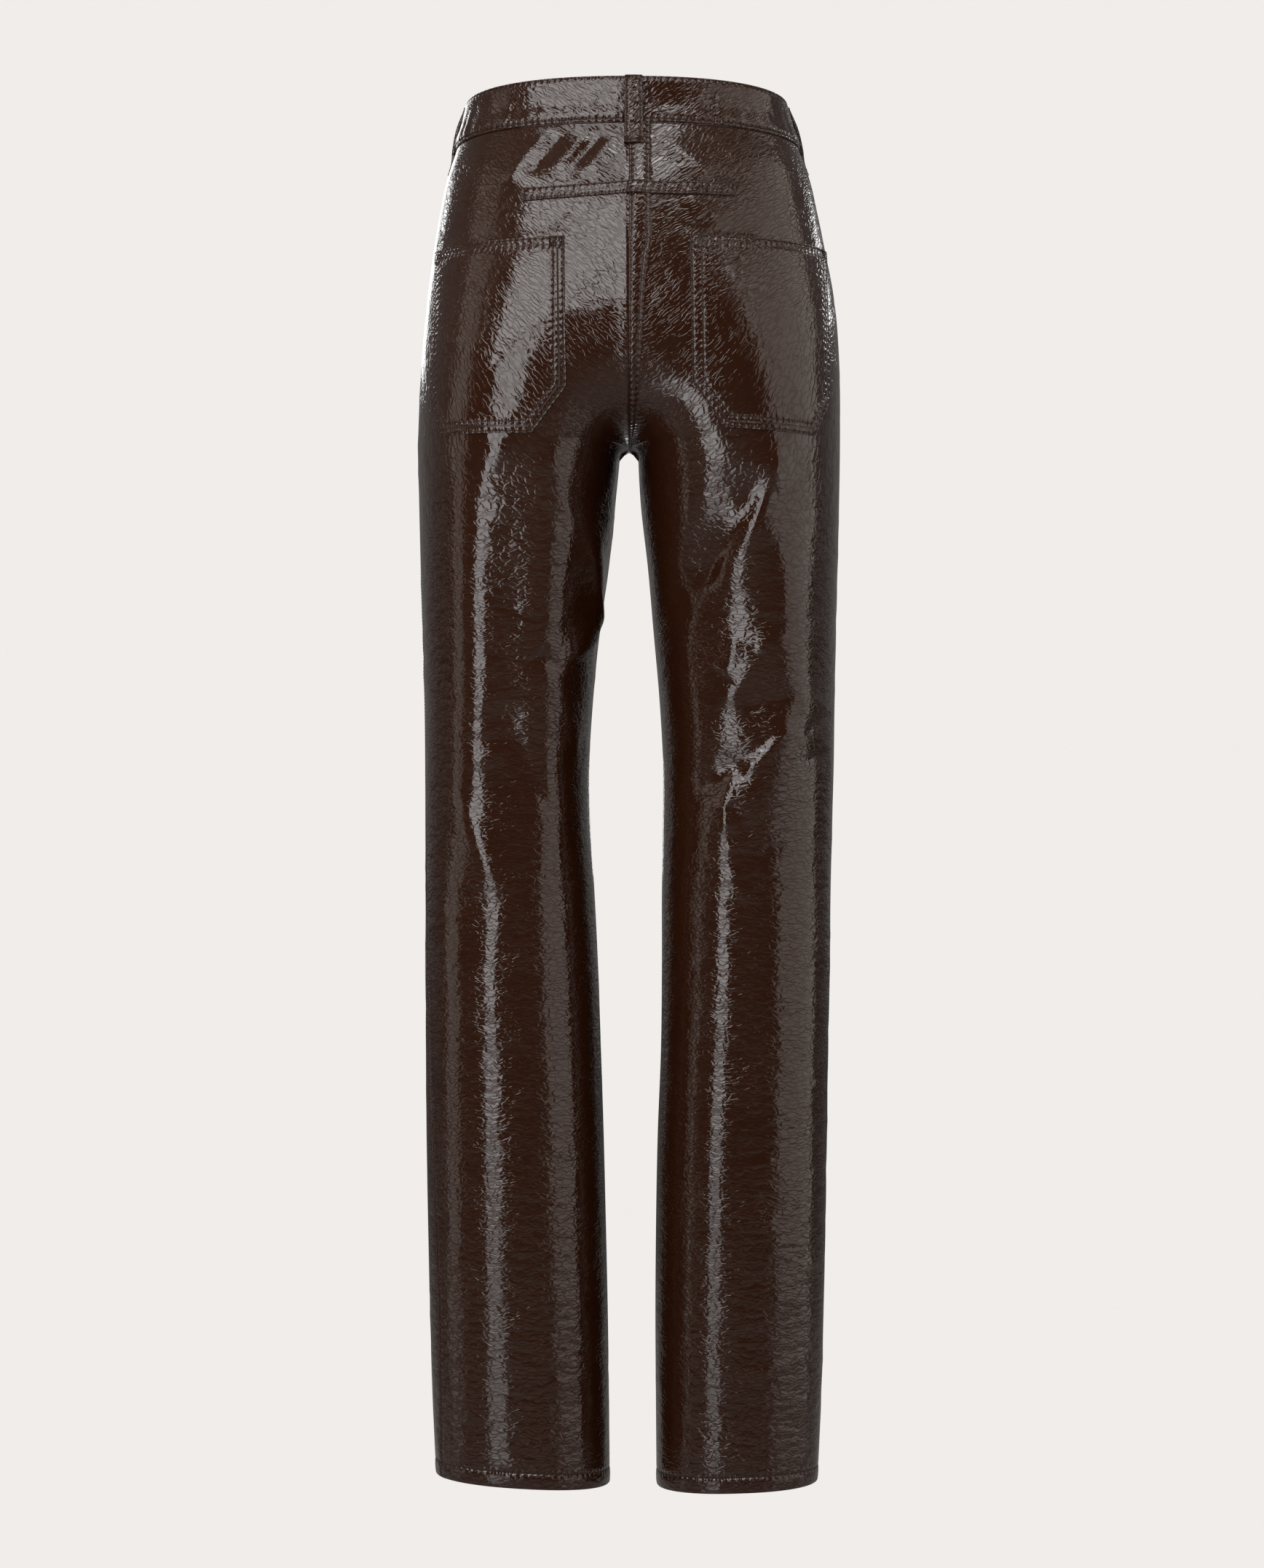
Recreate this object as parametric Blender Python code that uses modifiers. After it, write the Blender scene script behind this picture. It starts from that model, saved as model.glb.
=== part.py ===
# Vinyl straight-leg trousers, filled out as worn, hollow, with the waist and both hems open.
# Metres, +Z up. The origin is the centre of the waist opening. The wearer's front faces -Y and
# the wearer's left is at +X. Every depth "down" is measured from the waist's edge at the side.

import math

import bmesh
import bpy
import numpy as np

MM = 0.001

# Cloth
CLOTH = 1.3 * MM                # one layer of coated cloth
HEM_CLOTH = 2.8 * MM            # the cloth turned up inside at the hem
SEAM_GAP = 0.3 * MM             # between two pieces, at seams and where one lies on another

# Depths
BAND_DEPTH = 36 * MM            # height of the waistband
CROTCH_DOWN = 267 * MM          # where the four panels meet
LEG_DOWN = 1064 * MM            # bottom edge of the hems
HEM_DEPTH = 12 * MM             # height of the turned hem

# How the two legs become one ring at the hips
MERGE_DEPTH = 150 * MM          # height over which the rings merge, up from the crotch
MERGE_POWER = 0.9               # below 1 the crotch curve is flatter at its bottom
CROTCH_ROUND = 8 * MM           # radius of the arch between the legs
BRIDGE = 31 * MM                # the cloth spans the dip between the legs this far to each side
BRIDGE_RISE = 60 * MM           # height above the crotch at which it spans that much
SQUARE = 2.25                   # exponent of the rings: 2 is an ellipse, more is fuller

WAIST_TILT = 0.07               # the waist's edge rises towards the back by this slope
TILT_DEPTH = 200 * MM           # depth at which that tilt has died out
HEM_LIFT = {"left": 2.0 * MM, "right": -1.5 * MM}   # each hem above that depth
HEM_RISE = {"left": 4.0 * MM, "right": 2.0 * MM}    # outer side of each hem above its middle
HEM_TILT = 0.04                 # the hems rise towards the back by this slope
HEM_FADE = 260 * MM             # height over which a hem's slopes die out

# The form in sections, in mm: half widths out and in from the centre plane on each side, the
# depth axis of the widest point, and how far front and back reach. The last two columns turn
# the outseams towards the back, in degrees.
SECTION_COLUMNS = ("down", "left_out", "left_in", "right_out", "right_in",
                   "side", "front", "back", "left_turn", "right_turn")
SECTION_ROWS = (
    (0, 125, 7, 121.5, 7, 0, 89, 93, 0, -6),
    (36, 133.5, 7, 131.5, 7, 2, 97, 101, 0, -6),
    (62, 141, 7, 140.2, 7, 5, 103, 113, 0, -6),
    (86, 145.6, 7, 145.3, 7, 8, 106, 122, 0, -6),
    (120, 151, 7, 152.1, 7, 10, 108, 133, 0, -6),
    (154, 155, 7, 158.2, 7, 12, 109, 139, 0, -6),
    (188, 158.5, 7, 161.2, 7, 12, 109, 141, 0, -6),
    (222, 160.8, 7, 162.4, 7, 11, 108, 139, 0, -6),
    (267, 162.6, 7, 162.7, 7, 6, 107, 130, 0, -6),
    (306, 162, 10.5, 162.3, 9, 3, 105, 119, 1, -6),
    (357, 161, 15.8, 161.4, 14.7, 0, 101, 107, 2, -6),
    (408, 159.8, 23, 160.4, 19.2, -3, 97, 97, 4, -6),
    (459, 158.4, 28, 159.4, 23.7, -5, 92, 88, 6, -6),
    (510, 158, 31, 158.8, 26.5, -6, 87, 80, 9, -6),
    (561, 157.9, 30.2, 157.5, 26.4, -6, 83, 75, 12, -6),
    (610, 157.9, 27, 156.4, 25.6, -6, 80, 72, 15, -6),
    (662, 158.2, 24.4, 155.9, 25.6, -6, 78, 70, 18, -6),
    (730, 157.7, 22, 154.6, 24.9, -5, 75, 69, 22, -6),
    (798, 157.1, 19.8, 153.5, 22.3, -4, 72, 69, 26, -6),
    (866, 155.9, 18.1, 152.4, 21, -3, 70, 69, 30, -6),
    (934, 154.4, 16.6, 150.8, 20.5, -2, 69, 68, 32, -6),
    (1001, 152.5, 15.6, 149, 20.9, -1, 68, 67, 30, -6),
    (1064, 149.6, 15.1, 146, 21.4, 0, 67, 67, 25, -6),
)
SECTIONS = {name: np.array([row[column] for row in SECTION_ROWS], float)
            for column, name in enumerate(SECTION_COLUMNS)}

# Folds of the cloth, from one end to the other. A turn is an angle round the leg in degrees: 0 is
# the outer side, 90 the middle of the back, 180 the inner side and -90 the middle of the front.
# Depth, half width and lift are in mm; a lift below 0 is a trough.
FOLD_COLUMNS = ("side", "turn", "down", "to_turn", "to_down", "width", "lift")
FOLDS = (
    ("left", 72, 280, 72, 470, 22, 3.0),
    ("left", 72, 470, 66, 545, 20, 3.0),
    ("left", 68, 550, 88, 614, 17, 3.0),
    ("left", 84, 640, 84, 1040, 28, 2.2),
    ("left", 84, 300, 96, 520, 18, -3.0),
    ("left", 112, 280, 116, 470, 22, 3.0),
    ("left", 118, 480, 126, 560, 20, 2.5),
    ("left", 138, 330, 163, 400, 13, 3.5),
    ("left", 163, 400, 128, 425, 13, 3.0),
    ("right", 72, 274, 98, 365, 16, 4.5),
    ("right", 86, 306, 148, 405, 18, -4.0),
    ("right", 98, 370, 88, 445, 24, 3.5),
    ("right", 66, 478, 104, 560, 15, 5.0),
    ("right", 138, 520, 88, 505, 14, -3.5),
    ("right", 103, 565, 102, 700, 22, 3.0),
    ("right", 104, 700, 104, 1040, 28, 2.2),
    ("left", -60, 300, -150, 350, 18, 3.0),
    ("right", -60, 300, -150, 345, 18, 3.0),
    ("left", -70, 520, -130, 560, 18, -3.0),
    ("right", -60, 540, -120, 510, 18, -3.0),
    ("left", -92, 600, -88, 1040, 26, 2.4),
    ("right", -90, 590, -88, 1040, 26, 2.4),
)
FOLD_RADIUS = 72 * MM           # turns into a length round the leg where folds are measured
FOLD_CLEAR = 14 * MM            # folds die out this close to the centre seams

# Mesh of the panels
ROWS_ABOVE = 15                 # from the waistband to the crotch
ROWS_BELOW = 31                 # from the crotch to the turned hem
CROTCH_SLANT = 70 * MM          # the row from the crotch meets the outseam this much lower
BACK_COLUMNS = 14
FRONT_COLUMNS = 11

# The seat seam is felled: its allowance lies under a raised strip on the right panel.
LAP_WIDTH = 10.3 * MM
LAP_RAISE = 0.8 * MM
LAP_STEP = 0.8 * MM             # width of the step at the strip's edge

# Waistband: its cross-section as depth and distance out from the form, in mm.
BAND_PROFILE = ((0, -1.3), (0, 0.7), (1, 1.0), (14, 0.9), (26, 1.2), (31, 1.7), (34.5, 1.3),
                (36, 0.6), (36, -1.3))
BAND_STEP = 7.5                 # degrees between its sections
BAND_UNDER = 28 * MM            # underlap past the centre front
BAND_OVER = 12 * MM             # overlap past the centre front
BAND_LAP = 3.4 * MM             # the upper end lies this much further out
BAND_RAMP = (34, 20)            # degrees before the centre front where it starts and is full

# Belt loops: turn round the waist on each side, and what is added to their height off the cloth.
LOOP_WIDTH = 13 * MM
LOOP_CLOTH = 1.6 * MM
LOOP_COLUMNS = 5
LOOPS = {"belt_loop_back": ("right", 89, 0.9 * MM),
         "belt_loop_left": ("left", -3, 0),
         "belt_loop_right": ("right", -3, 0),
         "belt_loop_front_left": ("left", -52, 0),
         "belt_loop_front_right": ("right", -52, 0)}
# Their inner face from end to end: depth and distance out from the form, in mm.
LOOP_PROFILE = ((0.4, 1.4), (4, 1.5), (9, 2.3), (16, 3.3), (24, 3.5), (31, 3.0), (37, 2.2),
                (41, 1.2), (45, 0.4), (53.5, 0.4))

# Pieces laid on the panels, as seen from behind or in front: distance across from the centre
# (the wearer's left is positive) and depth, in mm.
POCKET_LEFT = ((47.5, 120), (146, 120), (149, 235), (140.5, 265), (72.5, 265), (46.5, 231))
POCKET_RIGHT = ((-45, 118.5), (-47, 228.5), (-70.7, 261), (-138.5, 265), (-150.5, 236),
                (-149.5, 118))
SEAT_STRIP = ((78.5, 81), (78.5, 91), (-79, 87), (-79, 77))
FLY = ((-3, 38), (36, 38), (36, 160), (33, 176), (25, 190), (12, 199), (-3, 203))

# Waistband button
BUTTON_DOWN = 18 * MM
# Half section of the button and its shank, as radius and height in mm.
BUTTON_PROFILE = ((0, 4.0), (5.2, 3.9), (6.2, 4.3), (7.6, 4.2), (8.4, 3.5), (8.3, 2.7), (7.0, 2.2),
                  (3.0, 2.0), (2.6, 0), (0, 0))
BUTTON_STEPS = 20

# Colours as linear red, green and blue, with roughness and metal
VINYL = ((0.021, 0.0065, 0.004), 0.18, 0.0)
STEEL = ((0.10, 0.085, 0.075), 0.35, 1.0)


def section(name, down):
    """A column of the sections in metres at any depth, on a smooth curve through its rows."""
    depths = SECTIONS["down"] * MM
    values = SECTIONS[name] * MM
    slopes = np.gradient(values, depths)
    row = np.clip(np.searchsorted(depths, down) - 1, 0, len(depths) - 2)
    span = depths[row + 1] - depths[row]
    t = np.clip((down - depths[row]) / span, 0.0, 1.0)
    start = (1 + 2 * t) * (1 - t) ** 2 * values[row] + t * (1 - t) ** 2 * span * slopes[row]
    end = t * t * (3 - 2 * t) * values[row + 1] + t * t * (t - 1) * span * slopes[row + 1]
    return start + end


def smooth(t):
    """Eases from 0 to 1 as t does."""
    t = np.clip(t, 0.0, 1.0)
    return t * t * (3 - 2 * t)


def overlap(down):
    """How far a leg's ring reaches over the centre plane: 0 at the hips and 1 at the crotch."""
    return 1 - np.clip((CROTCH_DOWN - down) / MERGE_DEPTH, 0, 1) ** MERGE_POWER


def ring(side, down):
    """Centre and half width of one side's ring."""
    out = section(side + "_out", down)
    arch = np.clip((down - CROTCH_DOWN) / CROTCH_ROUND, 0, 1)
    inner = section(side + "_in", down) * np.sqrt(1 - (1 - arch) ** 2)
    shared = overlap(down)
    half = np.where(down > CROTCH_DOWN, (out - inner) / 2, out / (1 + shared))
    centre = np.where(down > CROTCH_DOWN, (out + inner) / 2, shared * half)
    return centre, half


def end_turn(down):
    """The turn at which a ring meets the centre plane, or the inseam below the crotch."""
    return 180 - np.degrees(np.arccos(overlap(down) ** (SQUARE / 2)))


def signed_power(value, power):
    return np.sign(value) * np.abs(value) ** power


def base_form(side, turn, down):
    """Points of the outer surface without its folds."""
    centre, half = ring(side, down)
    middle = section("side", down)
    angle = np.radians(turn)
    across = centre + half * signed_power(np.cos(angle), 2 / SQUARE)
    rise = 1 - (1 - np.clip((CROTCH_DOWN - down) / BRIDGE_RISE, 0, 1)) ** 2
    bridge = BRIDGE * rise * smooth(3 * overlap(down))
    spanned = bridge + across ** 2 / np.maximum(4 * bridge, 1e-9)
    place = (np.where(np.abs(across) < 2 * bridge, spanned, np.abs(across)) - centre) / half
    depth = (1 - np.minimum(np.abs(place), 1) ** SQUARE) ** (1 / SQUARE)
    to_back = section("back", down) - middle
    to_front = -section("front", down) - middle
    y = middle + depth * np.where(np.sin(angle) > 0, to_back, to_front)
    x = (across + SEAM_GAP / 2) * (1 if side == "left" else -1)
    tilt = WAIST_TILT * y * (1 - smooth(down / TILT_DEPTH))
    hem = HEM_LIFT[side] + HEM_RISE[side] * (across - centre) / half + HEM_TILT * y
    hem = hem * smooth((down - LEG_DOWN) / HEM_FADE + 1)
    return np.stack([x, y, tilt + hem - down], axis=-1)


def outward(surface, side, turn, down):
    """Unit normals of a surface function, by small steps round and down."""
    round_step = surface(side, turn + 0.5, down) - surface(side, turn - 0.5, down)
    down_step = surface(side, turn, down + 0.5 * MM) - surface(side, turn, down - 0.5 * MM)
    normal = np.cross(down_step, round_step) * (1 if side == "left" else -1)
    return normal / np.linalg.norm(normal, axis=-1, keepdims=True)


def fold_lift(side, turn, down):
    """Distance that the folds move the cloth outwards."""
    lift = np.zeros(np.broadcast(turn, down).shape)
    for fold_side, turn_a, down_a, turn_b, down_b, width, height in FOLDS:
        if fold_side != side:
            continue
        round_a = np.radians((turn - turn_a + 180) % 360 - 180) * FOLD_RADIUS
        down_from = down - down_a * MM
        run = np.array([math.radians(turn_b - turn_a) * FOLD_RADIUS, (down_b - down_a) * MM])
        length = math.hypot(*run)
        along = np.clip((round_a * run[0] + down_from * run[1]) / length ** 2, 0, 1)
        away = np.hypot(round_a - along * run[0], down_from - along * run[1])
        lift += height * MM * np.exp(-(away / (width * MM)) ** 2) * (1 - 0.5 * (2 * along - 1) ** 2)
    return lift


def form(side, turn, down):
    """Points of the outer surface with its folds."""
    base = base_form(side, turn, down)
    clear = smooth(np.abs(base[..., 0]) / FOLD_CLEAR)
    ease = smooth((down - BAND_DEPTH) / (60 * MM)) * smooth((LEG_DOWN - down) / (25 * MM))
    lift = fold_lift(side, turn, down) * clear * ease
    return base + lift[..., None] * outward(base_form, side, turn, down)


def row_depths(side, face):
    """Depth of each row at its inner end, on the centre seam and inseam, and at the outseam."""
    straight = np.linspace(BAND_DEPTH + SEAM_GAP, CROTCH_DOWN - MERGE_DEPTH, 60)
    curved = CROTCH_DOWN - MERGE_DEPTH * np.linspace(1, 0, 240)[1:] ** 2.5
    depths = np.concatenate([straight, curved])
    seam = base_form(side, face * end_turn(depths), depths)
    steps = np.linalg.norm(np.diff(seam, axis=0), axis=1)
    lengths = np.concatenate([[0], np.cumsum(steps)])
    inner_above = np.interp(np.linspace(0, lengths[-1], ROWS_ABOVE + 1), lengths, depths)
    outer_above = np.linspace(inner_above[0], CROTCH_DOWN + CROTCH_SLANT, ROWS_ABOVE + 1)

    share = np.arange(1, ROWS_BELOW + 1) / ROWS_BELOW
    inner_below = CROTCH_DOWN + share * (LEG_DOWN - HEM_DEPTH - CROTCH_DOWN)
    outer_below = inner_below + CROTCH_SLANT * (1 - share) ** 2
    hem = np.array([LEG_DOWN - HEM_DEPTH + 1 * MM, LEG_DOWN])
    return (np.concatenate([inner_above, inner_below, hem]),
            np.concatenate([outer_above, outer_below, hem]))


def row_points(surface, side, face, inner, outer, share):
    """Turn, depth and point at each share of the way from the outseam to a row's inner end."""
    down = outer + (inner - outer) * smooth(share)
    seam_turn = section(side + "_turn", outer) / MM
    turn = seam_turn + (face * end_turn(inner) - seam_turn) * share
    return turn, down, surface(side, turn, down)


def panel_grid(side, face, columns):
    """Outer and inner points of a panel, row by row, with columns from the wearer's left."""
    inner, outer = row_depths(side, face)
    inner = inner[:, None]
    outer = outer[:, None]
    probe = row_points(base_form, side, face, inner, outer, np.linspace(0, 1, 60)[None, :])[2]
    length = np.linalg.norm(np.diff(probe, axis=1), axis=2).sum(axis=1)[:, None]
    gap = SEAM_GAP / 2 / length
    share = gap + (1 - 2 * gap) * np.linspace(0, 1, columns + 1)[None, :]
    lap = np.zeros(share.shape)
    if side == "right" and face > 0:
        lap_at = 1 - LAP_WIDTH / length
        step_at = lap_at - LAP_STEP / length
        share = np.concatenate([gap + (step_at - gap) * np.linspace(0, 1, columns)[None, :],
                                lap_at, 1 - gap], axis=1)
        above = np.arange(len(inner)) / ROWS_ABOVE
        lap = np.zeros(share.shape)
        lap[:, -2:] = (LAP_RAISE * smooth((1 - above) * 4))[:, None]
    turn, down, points = row_points(form, side, face, inner, outer, share)
    normals = outward(form, side, turn, down)
    raise_way = normals * np.array([0, 1, 1])
    raise_way /= np.maximum(np.linalg.norm(raise_way, axis=-1, keepdims=True), 1e-6)
    wall = np.where(down > LEG_DOWN - HEM_DEPTH + 0.5 * MM, HEM_CLOTH, CLOTH)
    outer_points = points + lap[..., None] * raise_way
    inner_points = points - wall[..., None] * normals
    if side == "right":
        return outer_points[:, ::-1], inner_points[:, ::-1]
    return outer_points, inner_points


def grid_triangles(rows, columns, mirrored, first=0):
    """Two triangles for each cell of a grid of points numbered row by row."""
    triangles = []
    for row in range(rows - 1):
        for column in range(columns - 1):
            a = first + row * columns + column
            b = a + columns
            if column >= mirrored:
                triangles += [(a, b, b + 1), (a, b + 1, a + 1)]
            else:
                triangles += [(a, b, a + 1), (a + 1, b, b + 1)]
    return triangles


def closed_mesh(name, points, faces):
    """An object from points and faces that close, with its faces turned outwards."""
    mesh = bpy.data.meshes.new(name)
    mesh.from_pydata([tuple(point) for point in points], [], faces)
    shell = bmesh.new()
    shell.from_mesh(mesh)
    bmesh.ops.recalc_face_normals(shell, faces=shell.faces)
    shell.to_mesh(mesh)
    shell.free()
    return bpy.data.objects.new(name, mesh)


def wall_object(name, outer, inner, mirrored=0):
    """A closed wall between two grids of points, its cells mirrored from a column on."""
    rows, columns = outer.shape[:2]
    count = rows * columns
    faces = grid_triangles(rows, columns, mirrored)
    faces += grid_triangles(rows, columns, mirrored, count)
    rim = [row * columns for row in range(rows)]
    rim += [(rows - 1) * columns + column for column in range(1, columns)]
    rim += [row * columns + columns - 1 for row in range(rows - 2, -1, -1)]
    rim += [column for column in range(columns - 2, 0, -1)]
    for a, b in zip(rim, rim[1:] + rim[:1]):
        faces.append((a, b, count + b, count + a))
    points = np.concatenate([outer.reshape(-1, 3), inner.reshape(-1, 3)])
    return closed_mesh(name, points, faces)


def laid_piece(name, grid, mirrored, outline, face):
    """A piece cut to an outline from a grid of panel points, moved out and given its wall."""
    mesh = bpy.data.meshes.new(name)
    rows, columns = grid.shape[:2]
    mesh.from_pydata([tuple(point) for point in grid.reshape(-1, 3)], [],
                     grid_triangles(rows, columns, mirrored))
    sheet = bmesh.new()
    sheet.from_mesh(mesh)
    sheet.normal_update()
    if sum(part.normal.y * part.calc_area() for part in sheet.faces) * face < 0:
        bmesh.ops.reverse_faces(sheet, faces=sheet.faces)
        sheet.normal_update()
    moves = [(point, point.normal * SEAM_GAP) for point in sheet.verts]
    for point, move in moves:
        point.co += move
    corners = [np.array([across * MM, -down * MM]) for across, down in outline]
    middle = sum(corners) / len(corners)
    for corner, after in zip(corners, corners[1:] + corners[:1]):
        edge = after - corner
        side_way = np.array([edge[1], -edge[0]])
        if side_way @ (middle - corner) > 0:
            side_way = -side_way
        bmesh.ops.bisect_plane(sheet, geom=sheet.verts[:] + sheet.edges[:] + sheet.faces[:],
                               dist=1e-6, plane_co=(corner[0], 0, corner[1]),
                               plane_no=(side_way[0], 0, side_way[1]), clear_outer=True)
    sheet.to_mesh(mesh)
    sheet.free()
    piece = bpy.data.objects.new(name, mesh)
    wall = piece.modifiers.new("wall", "SOLIDIFY")
    wall.thickness = CLOTH
    wall.offset = 1
    return piece


def ring_point(angle, down, out):
    """A point at an angle round the waist, 0 at the wearer's left and 90 at the back."""
    angle = (angle + 180) % 360 - 180
    side = "left"
    turn = angle
    if abs(angle) > 90:
        side = "right"
        turn = (180 - angle + 180) % 360 - 180
    turn = np.array(float(turn))
    down = np.array(float(down))
    return base_form(side, turn, down) + out * outward(base_form, side, turn, down)


def waistband():
    """One strip round the waist whose upper end laps over its lower end at the centre front."""
    half_width = SECTIONS["left_out"][0] * MM
    start = -90 + math.degrees(BAND_UNDER / half_width)
    stop = -450 - math.degrees(BAND_OVER / half_width)
    angles = np.linspace(start, stop, round((start - stop) / BAND_STEP) + 1)
    rows = []
    for angle in angles:
        before = angle + 450
        lap = BAND_LAP * smooth((BAND_RAMP[0] - before) / (BAND_RAMP[0] - BAND_RAMP[1]))
        rows.append([ring_point(angle, down * MM, out * MM + lap) for down, out in BAND_PROFILE])
    points = np.array(rows)
    count = len(BAND_PROFILE)
    faces = [tuple(range(count)), tuple(range((len(rows) - 1) * count, len(rows) * count))]
    for row in range(len(rows) - 1):
        for place in range(count):
            a = row * count + place
            b = row * count + (place + 1) % count
            faces.append((a, b, b + count))
            faces.append((a, b + count, a + count))
    return closed_mesh("waistband", points.reshape(-1, 3), faces)


def belt_loop(name, side, turn, extra):
    """A folded strip that stands off the band and is sewn down at both ends."""
    probe = np.linspace(turn - 15, turn + 15, 301)
    steps = np.linalg.norm(np.diff(base_form(side, probe, np.zeros(1)), axis=0), axis=1)
    lengths = np.concatenate([[0], np.cumsum(steps)])
    places = np.interp(turn, probe, lengths) + LOOP_WIDTH * np.linspace(-0.5, 0.5, LOOP_COLUMNS)
    turns = np.interp(places, lengths, probe)[None, :]
    down = np.array([row[0] * MM for row in LOOP_PROFILE])[:, None]
    out = np.array([row[1] * MM for row in LOOP_PROFILE])[:, None, None] + extra
    turns, down = np.broadcast_arrays(turns, down)
    base = base_form(side, turns, down)
    way = outward(base_form, side, turns, down)
    return wall_object(name, base + (out + LOOP_CLOTH) * way, base + out * way)


def waist_button():
    """A turned shank button through the waistband's upper end at the centre front."""
    profile = bpy.data.meshes.new("waist_button")
    points = [(radius * MM, 0, height * MM) for radius, height in BUTTON_PROFILE]
    profile.from_pydata(points, [(k, k + 1) for k in range(len(points) - 1)], [])
    button = bpy.data.objects.new("waist_button", profile)
    turned = button.modifiers.new("turned", "SCREW")
    turned.steps = BUTTON_STEPS
    turned.render_steps = BUTTON_STEPS
    turned.use_merge_vertices = True
    turned.merge_threshold = 0.00001
    lap = (BAND_PROFILE[4][1] * MM + BAND_LAP) + SEAM_GAP
    button.location = ring_point(-90, BUTTON_DOWN, lap)
    button.rotation_euler = (math.radians(90), 0, 0)
    return button


def finish(piece, collection, look):
    """Puts a piece in the collection with a material of its own."""
    colour, roughness, metallic = look
    material = bpy.data.materials.new(piece.name)
    material.use_nodes = True
    shader = material.node_tree.nodes["Principled BSDF"]
    shader.inputs["Base Color"].default_value = (*colour, 1)
    shader.inputs["Roughness"].default_value = roughness
    shader.inputs["Metallic"].default_value = metallic
    piece.data.materials.append(material)
    collection.objects.link(piece)
    return piece


for old in list(bpy.data.objects):
    bpy.data.objects.remove(old, do_unlink=True)

trousers = bpy.data.collections.new("vinyl_trousers")
bpy.context.scene.collection.children.link(trousers)

grids = {}
for face_name, face, columns in (("back", 1, BACK_COLUMNS), ("front", -1, FRONT_COLUMNS)):
    for side in ("left", "right"):
        outer, inner = panel_grid(side, face, columns)
        grids[face_name, side] = outer
        mirrored = 0 if side == "right" else columns + 1
        finish(wall_object(face_name + "_" + side, outer, inner, mirrored), trousers, VINYL)
    grids[face_name, "both"] = np.concatenate(
        [grids[face_name, "left"], grids[face_name, "right"]], axis=1)

for piece_name, base, mirrored, outline, face in (
        ("pocket_left", ("back", "left"), BACK_COLUMNS, POCKET_LEFT, 1),
        ("pocket_right", ("back", "right"), 0, POCKET_RIGHT, 1),
        ("seat_strip", ("back", "both"), BACK_COLUMNS, SEAT_STRIP, 1),
        ("fly", ("front", "both"), FRONT_COLUMNS, FLY, -1)):
    finish(laid_piece(piece_name, grids[base], mirrored, outline, face), trousers, VINYL)
finish(waistband(), trousers, VINYL)
for loop_name, (side, turn, extra) in LOOPS.items():
    finish(belt_loop(loop_name, side, turn, extra), trousers, VINYL)
finish(waist_button(), trousers, STEEL)
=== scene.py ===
# Vinyl straight-leg trousers, filled out as worn, hollow, with the waist and both hems open.
# Metres, +Z up. The origin is the centre of the waist opening. The wearer's front faces -Y and
# the wearer's left is at +X. Every depth "down" is measured from the waist's edge at the side.

import math

import bpy
import numpy as np
from mathutils.bvhtree import BVHTree
from mathutils.kdtree import KDTree
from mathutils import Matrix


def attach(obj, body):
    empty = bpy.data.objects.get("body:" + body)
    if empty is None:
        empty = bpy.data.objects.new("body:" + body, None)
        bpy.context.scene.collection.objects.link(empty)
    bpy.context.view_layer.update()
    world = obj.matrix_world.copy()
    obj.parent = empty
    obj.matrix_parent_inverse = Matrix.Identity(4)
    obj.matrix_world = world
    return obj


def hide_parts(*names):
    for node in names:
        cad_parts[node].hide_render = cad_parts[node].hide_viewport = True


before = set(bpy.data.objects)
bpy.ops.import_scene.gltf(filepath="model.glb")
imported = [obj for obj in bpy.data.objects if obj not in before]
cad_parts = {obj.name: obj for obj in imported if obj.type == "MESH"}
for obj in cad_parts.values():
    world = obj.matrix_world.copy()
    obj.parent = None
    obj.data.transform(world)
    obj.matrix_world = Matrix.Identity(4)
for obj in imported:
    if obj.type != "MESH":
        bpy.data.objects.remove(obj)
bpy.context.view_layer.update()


# ---- Back panels -----------------------------------------------------------------------------
# The two back legs are crinkled patent vinyl, cut in one piece each from the waist to the hem.
# They are sewn to each other down the seat with a felled seam, whose allowance is a raised strip
# on the right panel, and to the front legs at the outseams and inseams. The hems are turned up.

MM = 0.001

CLOTH = 1.3 * MM                # one layer of coated cloth
HEM_CLOTH = 2.8 * MM            # the cloth turned up inside at the hem
SEAM_GAP = 0.08 * MM            # between two pieces, at seams and where one lies on another
BAND_DEPTH = 36 * MM            # height of the waistband
CROTCH_DOWN = 267 * MM          # where the four panels meet
LEG_DOWN = 1064 * MM            # bottom edge of the hems
HEM_DEPTH = 12 * MM             # height of the turned hem

MERGE_DEPTH = 150 * MM          # height over which the legs' rings merge, up from the crotch
MERGE_POWER = 0.9               # below 1 the crotch curve is flatter at its bottom
CROTCH_ROUND = 8 * MM           # radius of the arch between the legs
CROTCH_EASE = 45 * MM           # height over which the rest of the rings draws in below it
ARCH_POWER = 6                  # the more, the narrower the arch is beside the inseam
BRIDGE = 31 * MM                # the cloth spans the dip between the legs this far to each side
BRIDGE_RISE = 60 * MM           # height above the crotch at which it spans that much
SQUARE = 2.25                   # exponent of the rings: 2 is an ellipse, more is fuller

WAIST_TILT = 0.07               # the waist's edge rises towards the back by this slope
TILT_DEPTH = 200 * MM           # depth at which that tilt has died out
HEM_LIFT = {"left": 2.0 * MM, "right": -1.5 * MM}   # each hem above that depth
HEM_RISE = {"left": 4.0 * MM, "right": 2.0 * MM}    # outer side of each hem above its middle
HEM_TILT = 0.04                 # the hems rise towards the back by this slope
HEM_FADE = 260 * MM             # height over which a hem's slopes die out

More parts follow.
